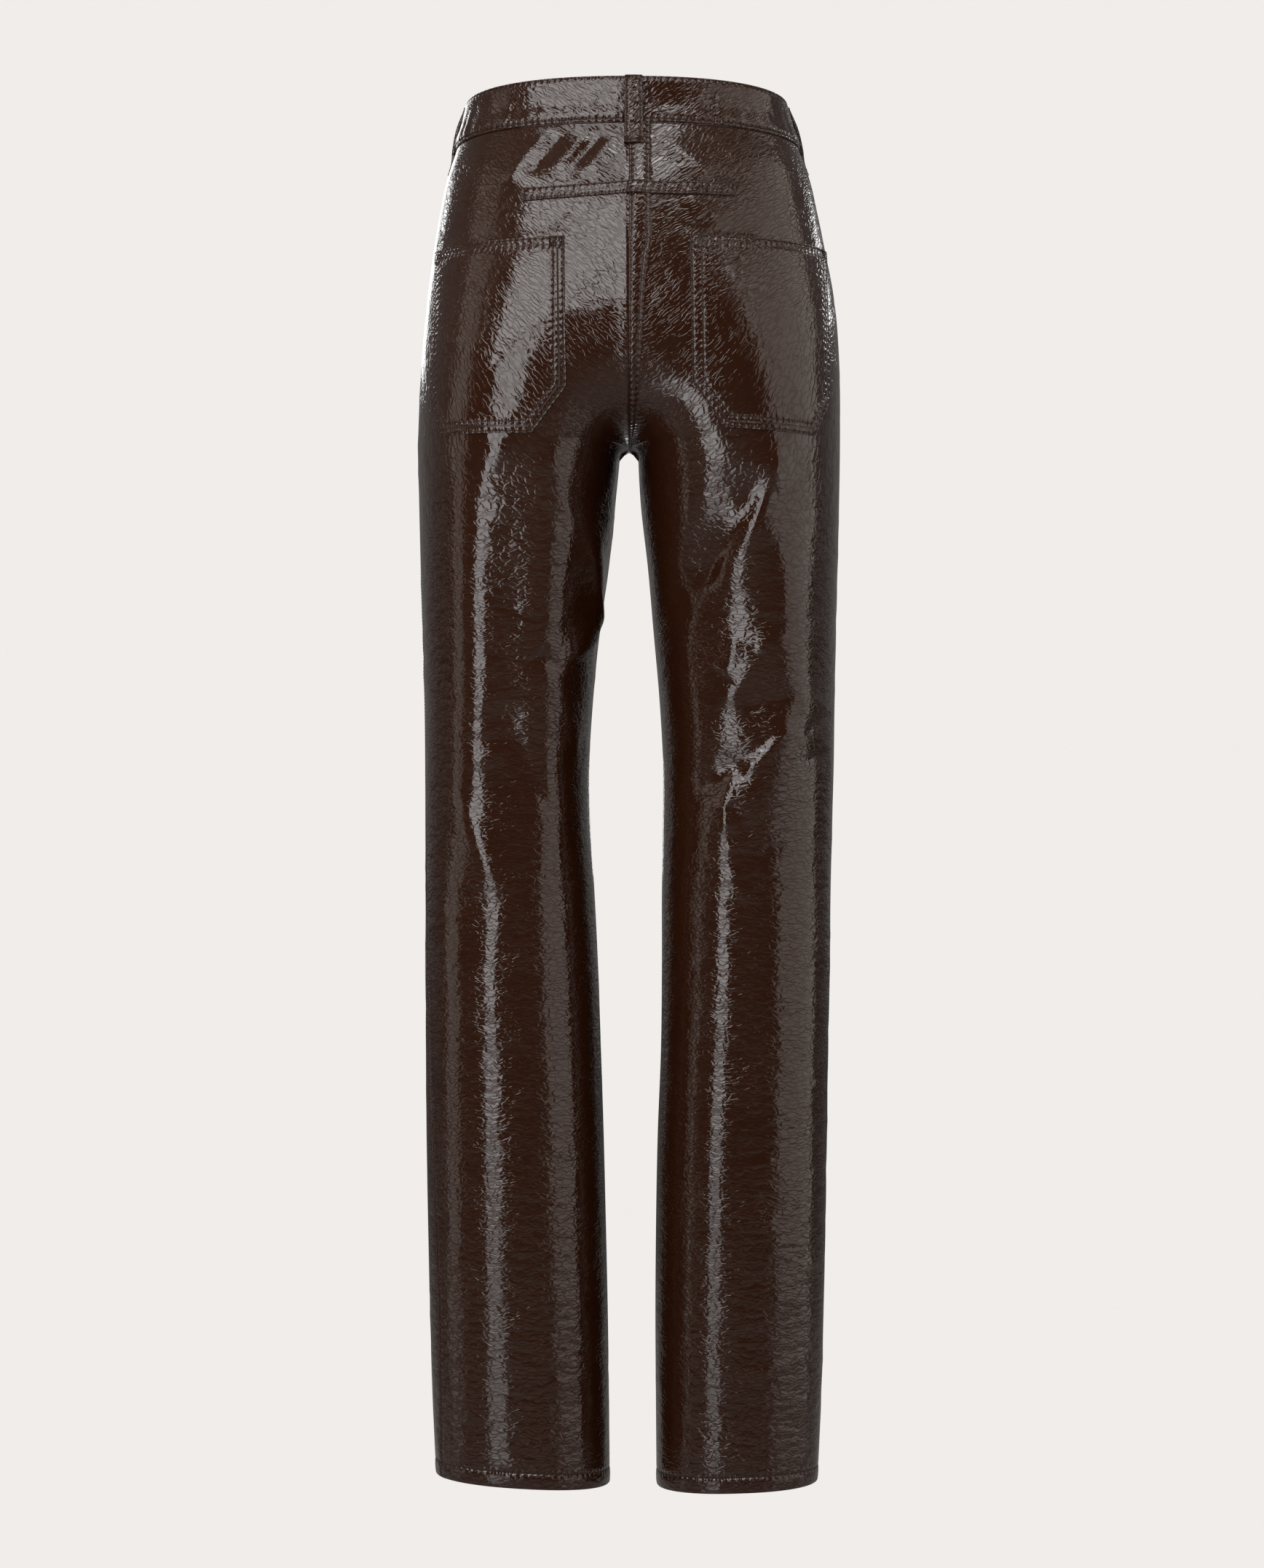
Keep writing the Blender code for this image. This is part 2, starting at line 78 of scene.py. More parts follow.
# The form in sections, in mm: half widths out and in from the centre plane on each side, the
# depth axis of the widest point, and how far front and back reach. The last two columns turn
# the outseams towards the back, in degrees.
SECTION_COLUMNS = ("down", "left_out", "left_in", "right_out", "right_in",
                   "side", "front", "back", "left_turn", "right_turn")
SECTION_ROWS = (
    (0, 125, 7, 121.5, 7, 0, 89, 93, 0, -6),
    (36, 133.5, 7, 131.5, 7, 2, 97, 101, 0, -6),
    (62, 141, 7, 140.2, 7, 5, 103, 113, 0, -6),
    (86, 145.6, 7, 145.3, 7, 8, 106, 122, 0, -6),
    (120, 151, 7, 152.1, 7, 10, 108, 133, 0, -6),
    (154, 155, 7, 158.2, 7, 12, 109, 139, 0, -6),
    (188, 158.5, 7, 161.2, 7, 12, 109, 141, 0, -6),
    (222, 160.8, 7, 162.4, 7, 11, 108, 139, 0, -6),
    (267, 162.6, 7, 162.7, 7, 6, 107, 130, 0, -6),
    (306, 162, 10.5, 162.3, 9, 3, 105, 119, 1, -6),
    (357, 161, 15.8, 161.4, 14.7, 0, 101, 107, 2, -6),
    (408, 159.8, 23, 160.4, 19.2, -3, 97, 97, 4, -6),
    (459, 158.4, 28, 159.4, 23.7, -5, 92, 88, 6, -6),
    (510, 158, 31, 158.8, 26.5, -6, 87, 80, 9, -6),
    (561, 157.9, 30.2, 157.5, 26.4, -6, 83, 75, 12, -6),
    (610, 157.9, 27, 156.4, 25.6, -6, 80, 72, 15, -6),
    (662, 158.2, 24.4, 155.9, 25.6, -6, 78, 70, 18, -6),
    (730, 157.7, 22, 154.6, 24.9, -5, 75, 69, 22, -6),
    (798, 157.1, 19.8, 153.5, 22.3, -4, 72, 69, 26, -6),
    (866, 155.9, 18.1, 152.4, 21, -3, 70, 69, 30, -6),
    (934, 154.4, 16.6, 150.8, 20.5, -2, 69, 68, 32, -6),
    (1001, 152.5, 15.6, 149, 20.9, -1, 68, 67, 30, -6),
    (1064, 149.6, 15.1, 146, 21.4, 0, 67, 67, 25, -6),
)
SECTIONS = {name: np.array([row[column] for row in SECTION_ROWS], float)
            for column, name in enumerate(SECTION_COLUMNS)}

# Largest folds: side, turn and depth at one end, turn and depth at the other, half width and
# lift. A turn is an angle round the leg in degrees: 0 is the outer side, 90 the middle of the
# back, 180 the inner side and -90 the middle of the front. The rest is in mm; a lift below 0 is a
# trough.
FOLDS = (
    ("left", 72, 280, 72, 470, 22, 3.0),
    ("left", 72, 470, 66, 545, 20, 3.0),
    ("left", 68, 550, 88, 614, 17, 3.0),
    ("left", 84, 640, 84, 1040, 28, 2.2),
    ("left", 84, 300, 96, 520, 18, -3.0),
    ("left", 112, 280, 116, 470, 22, 3.0),
    ("left", 118, 480, 126, 560, 20, 2.5),
    ("left", 138, 330, 163, 400, 13, 3.5),
    ("left", 163, 400, 128, 425, 13, 3.0),
    ("right", 72, 274, 98, 365, 16, 4.5),
    ("right", 86, 306, 148, 405, 18, -4.0),
    ("right", 70, 345, 68, 455, 24, 6.0),
    ("right", 116, 350, 112, 450, 24, -4.5),
    ("right", 62, 470, 102, 562, 24, 6.5),
    ("right", 132, 528, 92, 512, 14, -3.0),
    ("right", 103, 565, 102, 700, 22, 3.0),
    ("right", 104, 700, 104, 1040, 28, 2.2),
    ("left", -60, 300, -150, 350, 18, 3.0),
    ("right", -60, 300, -150, 345, 18, 3.0),
    ("left", -70, 520, -130, 560, 18, -3.0),
    ("right", -60, 540, -120, 510, 18, -3.0),
    ("left", -92, 600, -88, 1040, 26, 2.4),
    ("right", -90, 590, -88, 1040, 26, 2.4),
)
FOLD_RADIUS = 72 * MM           # turns into a length round the leg where folds are measured
FOLD_CLEAR = 14 * MM            # folds die out this close to the centre seams
FOLD_EASE = (60 * MM, 25 * MM)  # height over which they set in at the waistband and at the hem

# Creases: a face (1 back, -1 front), then distance across from the centre (the wearer's left is
# positive) and depth at the start, middle and end, half width, lift and radius of the crest, in
# mm. A lift below 0 is a trough.
CREASES = (
    # left leg: inner thigh curve, behind the knee, and the bend of the highlight at the calf
    (1, 35, 334, 26, 380, 25, 408, 8, 2.2, 1.5),
    (1, 25, 408, 33, 421, 52, 431, 8, 2.2, 1.5),
    (1, 71, 425, 63, 432, 50, 438, 7, -2.4, 1.5),
    (1, 134, 474, 112, 477, 90, 475, 4, -0.9, 2),
    (1, 132, 488, 106, 492, 84, 486, 4, -1.0, 2),
    (1, 125, 509, 105, 505, 90, 496, 5, 1.2, 2),
    (1, 65, 274, 50, 311, 32, 354, 12, 1.6, 4),
    (1, 71, 425, 51, 461, 38, 516, 12, 2.2, 4),
    (1, 102, 457, 78, 504, 55, 559, 11, -2.0, 3),
    (1, 123, 535, 115, 565, 96, 612, 8, 1.2, 3),
    (1, 96, 612, 104, 664, 102, 725, 9, 0.8, 4),
    (1, 89, 268, 104, 289, 113, 320, 7, 1.0, 3),
    (1, 121, 196, 110, 214, 88, 226, 8, 0.8, 3),
    # right leg: below the pocket, thigh, the sharp bend behind the knee, and the calf
    (1, -111, 272, -102, 310, -79, 358, 7, 3.6, 1.5),
    (1, -100, 288, -76, 340, -41, 385, 12, -4.0, 3),
    (1, -79, 408, -76, 431, -70, 446, 8, 2.6, 1.5),
    (1, -106, 401, -91, 439, -59, 472, 10, 2.6, 3),
    (1, -127, 452, -106, 464, -80, 461, 9, -2.0, 2),
    (1, -124, 474, -104, 499, -84, 518, 6, 3.0, 1.2),
    (1, -84, 518, -75, 533, -73, 572, 6, 2.4, 1.2),
    (1, -112, 482, -88, 506, -60, 518, 6, -2.6, 1.5),
    (1, -76, 538, -84, 550, -93, 568, 6, -1.4, 2),
    (1, -159, 473, -142, 479, -130, 491, 5, -1.4, 1.5),
    (1, -156, 500, -139, 505, -124, 511, 4, -0.9, 1.5),
    (1, -75, 582, -86, 606, -100, 615, 6, 1.2, 2),
    # seat: rays between the waistband and the strip, and beside the pockets
    (1, 91, 83, 79, 62, 60, 44, 6, 1.6, 2),
    (1, 74, 76, 62, 58, 48, 44, 5, -2.4, 2),
    (1, 58, 76, 44, 60, 30, 43, 5, 1.8, 2),
    (1, 47, 76, 32, 58, 20, 44, 4, -2.2, 2),
    (1, 36, 79, 20, 62, 8, 44, 5, 1.8, 2),
    (1, -22, 44, -44, 62, -68, 76, 9, 1.6, 3),
    (1, 61, 118, 49, 105, 36, 99, 6, -1.0, 2),
    (1, -38, 97, -58, 102, -72, 118, 8, 1.1, 3),
    (1, -17, 176, -30, 165, -44, 162, 6, 0.9, 2),
    (1, -27, 199, -46, 215, -71, 223, 7, -0.8, 3),
    # front: from the fly's foot to the hips, and across the knees
    (-1, 12, 214, 44, 232, 88, 226, 8, -1.2, 3),
    (-1, -12, 216, -46, 230, -84, 220, 8, -1.2, 3),
    (-1, 16, 236, 58, 258, 104, 262, 9, 1.2, 3),
    (-1, -16, 238, -54, 260, -100, 258, 9, 1.2, 3),
    (-1, 24, 262, 56, 282, 92, 296, 8, -1.0, 3),
    (-1, -24, 264, -58, 286, -96, 292, 8, -1.0, 3),
    (-1, 40, 512, 82, 524, 122, 512, 9, 1.6, 3),
    (-1, 44, 548, 88, 556, 130, 540, 8, -1.4, 3),
    (-1, -42, 518, -80, 530, -118, 516, 9, 1.5, 3),
    (-1, -46, 552, -90, 558, -132, 546, 8, -1.3, 3),
    (-1, 60, 590, 74, 650, 80, 720, 9, 1.0, 4),
    (-1, -64, 592, -76, 655, -84, 730, 9, 1.0, 4),
)

CREASE_CLEAR = 4 * MM           # creases die out this close to the centre seams
CREASE_EASE = (8 * MM, 16 * MM)  # height over which they set in at the waistband and at the hem

SEAM_TENT = 5.0 * MM            # the cloth stands out along the seat seam, as on a tent's ridge
TENT_WIDTH = 34 * MM
TENT_DEPTHS = (52 * MM, 95 * MM, 250 * MM)   # where that starts, is full and ends

# Small wrinkles strewn over each panel
WRINKLES = 260
WRINKLE_LENGTH = (14, 44)       # mm
WRINKLE_WIDTH = (2.6, 5.5)      # mm
WRINKLE_LIFT = (0.10, 0.34)     # mm, up or down


def curve(places, values, at):
    """A smooth curve through values at rising places, read anywhere from end to end."""
    slopes = np.gradient(values, places)
    row = np.clip(np.searchsorted(places, at) - 1, 0, len(places) - 2)
    span = places[row + 1] - places[row]
    t = np.clip((at - places[row]) / span, 0, 1)
    start = (1 + 2 * t) * (1 - t) ** 2 * values[row] + t * (1 - t) ** 2 * span * slopes[row]
    end = t * t * (3 - 2 * t) * values[row + 1] + t * t * (t - 1) * span * slopes[row + 1]
    return start + end


def section(name, down):
    """A column of the sections at any depth, in metres."""
    return curve(SECTIONS["down"] * MM, SECTIONS[name] * MM, down)


def smooth(t):
    """Eases from 0 to 1 as t does."""
    t = np.clip(t, 0.0, 1.0)
    return t * t * (3 - 2 * t)


def bell(away, width):
    """1 on a line, and less away from it by a soft curve of this half width."""
    return np.exp(-(away / width) ** 2)


def overlap(down):
    """How far a leg's ring reaches over the centre plane: 0 at the hips and 1 at the crotch."""
    return 1 - np.clip((CROTCH_DOWN - down) / MERGE_DEPTH, 0, 1) ** MERGE_POWER


def parted(down):
    """How far the legs have parted: 0 at the crotch and 1 a little below it."""
    ease = np.clip((down - CROTCH_DOWN) / CROTCH_EASE, 0, 1)
    return ease * (2 - ease)


def ring(side, down):
    """Centre and half width of one side's ring."""
    out = section(side + "_out", down)
    inner = section(side + "_in", down) * parted(down)
    shared = overlap(down)
    half = np.where(down > CROTCH_DOWN, (out - inner) / 2, out / (1 + shared))
    centre = np.where(down > CROTCH_DOWN, (out + inner) / 2, shared * half)
    return centre, half


def end_turn(down):
    """The turn at which a ring meets the centre plane, or the inseam below the crotch."""
    return 180 - np.degrees(np.arccos(overlap(down) ** (SQUARE / 2)))


def signed_power(value, power):
    """A power that keeps the sign."""
    return np.sign(value) * np.abs(value) ** power


def base_form(side, turn, down):
    """Points of the outer surface without its folds."""
    centre, half = ring(side, down)
    middle = section("side", down)
    angle = np.radians(turn)
    across = centre + half * signed_power(np.cos(angle), 2 / SQUARE)
    # near the centre plane the cloth spans the dip between the legs
    rise = 1 - (1 - np.clip((CROTCH_DOWN - down) / BRIDGE_RISE, 0, 1)) ** 2
    bridge = BRIDGE * rise * smooth(3 * overlap(down))
    spanned = bridge + across ** 2 / np.maximum(4 * bridge, 1e-9)
    place = (np.where(np.abs(across) < 2 * bridge, spanned, np.abs(across)) - centre) / half
    depth = (1 - np.minimum(np.abs(place), 1) ** SQUARE) ** (1 / SQUARE)
    to_back = section("back", down) - middle
    to_front = -section("front", down) - middle
    y = middle + depth * np.where(np.sin(angle) > 0, to_back, to_front)
    # just below the crotch the inseams part in a narrow arch
    arch = np.clip((down - CROTCH_DOWN) / CROTCH_ROUND, 0, 1)
    open_more = section(side + "_in", down) * (np.sqrt(1 - (1 - arch) ** 2) - parted(down))
    across = across + open_more * np.clip(-np.cos(angle), 0, 1) ** ARCH_POWER
    x = (across + SEAM_GAP / 2) * (1 if side == "left" else -1)
    tilt = WAIST_TILT * y * (1 - smooth(down / TILT_DEPTH))
    hem = HEM_LIFT[side] + HEM_RISE[side] * (across - centre) / half + HEM_TILT * y
    hem = hem * smooth((down - LEG_DOWN) / HEM_FADE + 1)
    return np.stack([x, y, tilt + hem - down], axis=-1)


def outward(side, turn, down):
    """Unit normals of the base form, by small steps round and down."""
    round_step = base_form(side, turn + 0.5, down) - base_form(side, turn - 0.5, down)
    down_step = base_form(side, turn, down + 0.5 * MM) - base_form(side, turn, down - 0.5 * MM)
    normal = np.cross(down_step, round_step) * (1 if side == "left" else -1)
    return normal / np.linalg.norm(normal, axis=-1, keepdims=True)


def turn_at(side, face, across, down):
    """The turn at which a ring lies a distance across from the centre plane."""
    centre, half = ring(side, down)
    place = np.clip((np.abs(across) - SEAM_GAP / 2 - centre) / half, -1, 1)
    return face * np.degrees(np.arccos(signed_power(place, SQUARE / 2)))


def fold_lift(side, turn, down):
    """Distance that the folds move the cloth outwards."""
    lift = np.zeros(np.broadcast(turn, down).shape)
    for fold_side, turn_a, down_a, turn_b, down_b, width, height in FOLDS:
        if fold_side != side:
            continue
        round_a = np.radians((turn - turn_a + 180) % 360 - 180) * FOLD_RADIUS
        down_from = down - down_a * MM
        run = np.array([math.radians(turn_b - turn_a) * FOLD_RADIUS, (down_b - down_a) * MM])
        length = math.hypot(*run)
        along = np.clip((round_a * run[0] + down_from * run[1]) / length ** 2, 0, 1)
        away = np.hypot(round_a - along * run[0], down_from - along * run[1])
        lift += height * MM * bell(away, width * MM) * (1 - 0.5 * (2 * along - 1) ** 2)
    return lift


def crease_paths():
    """Each crease as points on the surface, with its width, lift and crest in metres."""
    t = np.linspace(0, 1, 13)
    weights = np.stack([(1 - t) * (1 - 2 * t), 4 * t * (1 - t), t * (2 * t - 1)])
    paths = []
    for face, *corners, width, lift, crest in CREASES:
        across, down = np.array(corners).reshape(3, 2).T * MM
        side = "left" if across.sum() > 0 else "right"
        across = across @ weights
        down = down @ weights
        points = base_form(side, turn_at(side, face, across, down), down)
        paths.append((points, width * MM, lift * MM, crest * MM))
    return paths


def wrinkle_paths():
    """Short level wrinkles at seeded places all round both legs, as crease_paths gives them."""
    random = np.random.default_rng(7)
    paths = []
    for side in ("left", "right"):
        for _ in range(2 * WRINKLES):
            down = random.uniform(70, 1040) * MM
            turn = random.uniform(-175, 175)
            length = random.uniform(*WRINKLE_LENGTH) * MM
            slope = random.normal(0, 0.22)
            bow = random.normal(0, 2.0) * MM
            width = random.uniform(*WRINKLE_WIDTH) * MM
            lift = random.uniform(*WRINKLE_LIFT) * MM * random.choice((-1, 1))
            if abs(turn) > end_turn(np.array(down)) - 6:
                continue
            t = np.linspace(-0.5, 0.5, 5)
            turns = turn + np.degrees(length / FOLD_RADIUS) * t
            downs = down + slope * length * t + bow * (1 - 4 * t * t)
            paths.append((base_form(side, turns, downs), width, lift, width / 2))
    return paths


PATHS = crease_paths() + wrinkle_paths()


def beside(points, path):
    """Distance of points from a path of straight runs, and their place along it from 0 to 1."""
    starts = path[:-1]
    runs = path[1:] - starts
    from_start = points[:, None, :] - starts[None]
    along = np.clip((from_start * runs).sum(axis=2) / (runs ** 2).sum(axis=1), 0, 1)
    gaps = np.linalg.norm(from_start - along[..., None] * runs, axis=2)
    nearest = gaps.argmin(axis=1)
    rows = np.arange(len(points))
    return gaps[rows, nearest], (nearest + along[rows, nearest]) / len(starts)


def crease_lift(points):
    """Distance that creases and wrinkles move points of the base form outwards."""
    flat = points.reshape(-1, 3)
    lift = np.zeros(len(flat))
    for path, width, height, crest in PATHS:
        reach = 4.5 * width
        low = path.min(axis=0) - reach
        high = path.max(axis=0) + reach
        near = np.flatnonzero(np.all((flat > low) & (flat < high), axis=1))
        if len(near):
            away, share = beside(flat[near], path)
            ends = smooth(np.minimum(share, 1 - share) * 4)
            slope = np.exp(-(np.sqrt(away ** 2 + crest ** 2) - crest) / width)
            lift[near] += height * slope * ends * smooth((reach - away) / width)
    return lift.reshape(points.shape[:-1])


def surface_lift(side, turn, down):
    """Distance that folds and creases move the surface outwards."""
    base = base_form(side, turn, down)
    from_seam = np.abs(base[..., 0])
    from_band = down - BAND_DEPTH
    to_hem = LEG_DOWN - down
    folds = fold_lift(side, turn, down) * smooth(from_seam / FOLD_CLEAR)
    folds = folds * smooth(from_band / FOLD_EASE[0]) * smooth(to_hem / FOLD_EASE[1])
    creases = crease_lift(base) * smooth(from_seam / CREASE_CLEAR)
    creases = creases * smooth(from_band / CREASE_EASE[0]) * smooth(to_hem / CREASE_EASE[1])
    start, full, end = TENT_DEPTHS
    tent = smooth((down - start) / (full - start)) * smooth((end - down) / (end - full) * 2)
    tent = SEAM_TENT * tent * np.exp(-from_seam / TENT_WIDTH) * (base[..., 1] > 0)
    return folds + tent + creases


def grid_normals(points, plain):
    """Unit normals of a grid of points, on the side of the plain directions."""
    normals = np.cross(np.gradient(points, axis=0), np.gradient(points, axis=1))
    normals /= np.maximum(np.linalg.norm(normals, axis=-1, keepdims=True), 1e-12)
    return normals * np.sign((normals * plain).sum(axis=-1, keepdims=True))


CROTCH_SLANT = 70 * MM          # the row from the crotch meets the outseam this much lower
TOP_ROWS = np.array([0, 0.5, 1.2, 2.4]) * MM
HEM_ROUND = 1.1 * MM            # round of the hem's bottom edge
HEM_ROWS = np.array([12.6, 12.0, 11.4, 10.0, 8.2, 6.4, 4.6, 2.9, 1.6, 0.9, 0.4, 0.1, 0]) * MM


def row_depths(side, face, above, below):
    """Depth of each row at its inner end, on the centre seam and inseam, and at the outseam."""
    straight = np.linspace(BAND_DEPTH + SEAM_GAP, CROTCH_DOWN - MERGE_DEPTH, 60)
    curved = CROTCH_DOWN - MERGE_DEPTH * np.linspace(1, 0, 240)[1:] ** 2.5
    depths = np.concatenate([straight, curved])
    seam = base_form(side, face * end_turn(depths), depths)
    steps = np.linalg.norm(np.diff(seam, axis=0), axis=1)
    lengths = np.concatenate([[0], np.cumsum(steps)])
    inner_above = np.interp(np.linspace(0, lengths[-1], above + 1), lengths, depths)
    outer_above = np.linspace(inner_above[0], CROTCH_DOWN + CROTCH_SLANT, above + 1)
    share = np.arange(1, below + 1) / below
    inner_below = CROTCH_DOWN + share * (LEG_DOWN - HEM_ROWS[0] - 1 * MM - CROTCH_DOWN)
    outer_below = inner_below + CROTCH_SLANT * (1 - share) ** 2
    top = inner_above[0] + TOP_ROWS
    hem = LEG_DOWN - HEM_ROWS
    return (np.concatenate([top, inner_above[2:], inner_below, hem]),
            np.concatenate([top, outer_above[2:], outer_below, hem]))


def row_turns(side, face, inner, outer, share):
    """Turn and depth at each share of the way from the outseam to a row's inner end."""
    down = outer + (inner - outer) * smooth(share)
    seam_turn = section(side + "_turn", outer) / MM
    turn = seam_turn + (face * end_turn(inner) - seam_turn) * share
    return turn, down


LAP_WIDTH = 10.3 * MM           # raised strip of the felled seat seam
LAP_RAISE = 0.8 * MM
LAP_ROWS = (1.3 * MM, 9.1 * MM)  # its two rows of stitches, from the seam
LAP_PUFF = 0.35 * MM            # it bulges between them
LAP_SEWN = (0.22 * MM, 0.45 * MM)  # and is drawn in beside them, how far and over what width
EDGE_COLUMNS = np.array([0, 0.4, 0.9, 1.8, 2.8, 4.2]) * MM
LAP_COLUMNS = np.array([0, 0.25, 0.6, 1.0, 1.3, 1.7, 2.6, 4.0, 5.6, 7.2, 8.5, 9.1, 9.5, 9.9, 10.4,
                        11.0, 11.8, 12.8, 14.2]) * MM


def lap_lift(away, above):
    """Height of the felled strip at a distance from the seat seam, 0 to 1 of the way down."""
    edge = np.sqrt(1 - (1 - np.clip(away / (0.7 * MM), 0, 1)) ** 2)
    step = 1 - smooth((away - LAP_WIDTH + 0.3 * MM) / (1.6 * MM))
    between = np.sin(np.pi * (away - LAP_ROWS[0]) / (LAP_ROWS[1] - LAP_ROWS[0]))
    puff = LAP_PUFF * np.clip(between, 0, 1)
    sewn = sum(LAP_SEWN[0] * bell(away - row, LAP_SEWN[1]) for row in LAP_ROWS)
    return (LAP_RAISE * edge + puff - sewn) * step * smooth((1 - above) * 4)


def hold_rows(count, step, always=()):
    """Indices for the coarser inner wall: every step-th of count, the last, and those named."""
    return sorted({*range(0, count, step), count - 1, *always})


def shell(name, outer, inner, inner_rows, inner_columns, face_rows=None):
    """A closed thin wall: a fine outer grid, a coarser inner one, and a rim that joins them. Faces
    of the inner side take the second material, but for those below face_rows."""
    rows, columns = outer.shape[:2]
    faces = []
    for row in range(rows - 1):
        start = row * columns
        faces += [(start + k, start + columns + k, start + columns + k + 1, start + k + 1)
                  for k in range(columns - 1)]
    outside = len(faces)
    count = rows * columns
    within = inner[np.ix_(inner_rows, inner_columns)]
    wide = len(inner_columns)
    backed = []
    for row in range(len(inner_rows) - 1):
        start = count + row * wide
        faces += [(start + k + 1, start + wide + k + 1, start + wide + k, start + k)
                  for k in range(wide - 1)]
        lining = face_rows is None or inner_rows[row] < face_rows
        backed += [1 if lining else 0] * (wide - 1)
    rim_start = len(faces)
    last_row = (len(inner_rows) - 1) * wide
    for k, (a, b) in enumerate(zip(inner_columns, inner_columns[1:])):
        faces.append(tuple(range(a, b + 1)) + (count + k + 1, count + k))
        bottom = tuple((rows - 1) * columns + j for j in range(b, a - 1, -1))
        faces.append(bottom + (count + last_row + k, count + last_row + k + 1))
    for k, (a, b) in enumerate(zip(inner_rows, inner_rows[1:])):
        left = tuple(j * columns for j in range(b, a - 1, -1))
        faces.append(left + (count + k * wide, count + (k + 1) * wide))
        right = tuple(j * columns + columns - 1 for j in range(a, b + 1))
        faces.append(right + (count + (k + 2) * wide - 1, count + (k + 1) * wide - 1))
    points = np.concatenate([outer.reshape(-1, 3), within.reshape(-1, 3)])
    mesh = bpy.data.meshes.new(name)
    mesh.from_pydata(points.tolist(), [], faces)
    slots = np.zeros(len(faces), int)
    slots[outside:rim_start] = backed
    mesh.polygons.foreach_set("material_index", slots)
    piece = bpy.data.objects.new(name, mesh)
    bpy.context.scene.collection.objects.link(piece)
    return piece


SHARP = 55                      # edges bent by more than this many degrees stay sharp


def facing(piece, way, face=0):
    """Turns a closed piece's faces outwards, judged by one face that has to look this way, and
    smooths it."""
    mesh = piece.data
    if mesh.polygons[face].normal.dot(way) < 0:
        mesh.flip_normals()
    mesh.shade_smooth()
    mesh.set_sharp_from_angle(angle=math.radians(SHARP))


SEWN = []                       # rows of stitches as points and directions, for the section below
ROW_STEP = 0.8 * MM


def sew(piece, *routes):
    """Lays routes on a piece as rows of stitches. The piece's points keep their distance from the
    nearest row and the place along it, for the puckers beside it."""
    mesh = piece.data
    surface = BVHTree.FromPolygons([point.co for point in mesh.vertices],
                                   [tuple(part.vertices) for part in mesh.polygons])
    spots = []
    for route in routes:
        lengths = np.concatenate([[0], np.cumsum(np.linalg.norm(np.diff(route, axis=0), axis=1))])
        stops = np.linspace(0, lengths[-1], max(2, round(lengths[-1] / ROW_STEP)))
        places = np.stack([np.interp(stops, lengths, route[:, axis]) for axis in range(3)], axis=1)
        hits = [surface.find_nearest(place) for place in places]
        SEWN.append(([tuple(hit[0]) for hit in hits], [tuple(hit[1]) for hit in hits]))
        spots += [(hit[0], stop) for hit, stop in zip(hits, stops)]
    tree = KDTree(len(spots))
    for index, (place, _) in enumerate(spots):
        tree.insert(place, index)
    tree.balance()
    found = [tree.find(point.co) for point in mesh.vertices]
    for name, values in (("row_away", [one[2] for one in found]),
                         ("row_at", [spots[one[1]][1] for one in found])):
        mesh.attributes.new(name, "FLOAT", "POINT").data.foreach_set("value", values)


OUTSEAM_ROW = 1.8 * MM          # stitches on the back panel, from the outseam
# Where the cloth turns down, how far and over what width
OUTSEAM_DIP = (0.7 * MM, 0.9 * MM)
INSEAM_DIP = (0.6 * MM, 0.9 * MM)
BAND_DIP = (0.5 * MM, 0.8 * MM)
HEM_DIP = (0.3 * MM, 0.7 * MM)
ALLOWANCE = 9 * MM              # width of a seam's allowance, which lifts the cloth over it
OUTSEAM_LIFT = 0.22 * MM
INSEAM_LIFT = 0.18 * MM
HEM_PUFF = 0.35 * MM            # the hem bulges between its stitches and its edge


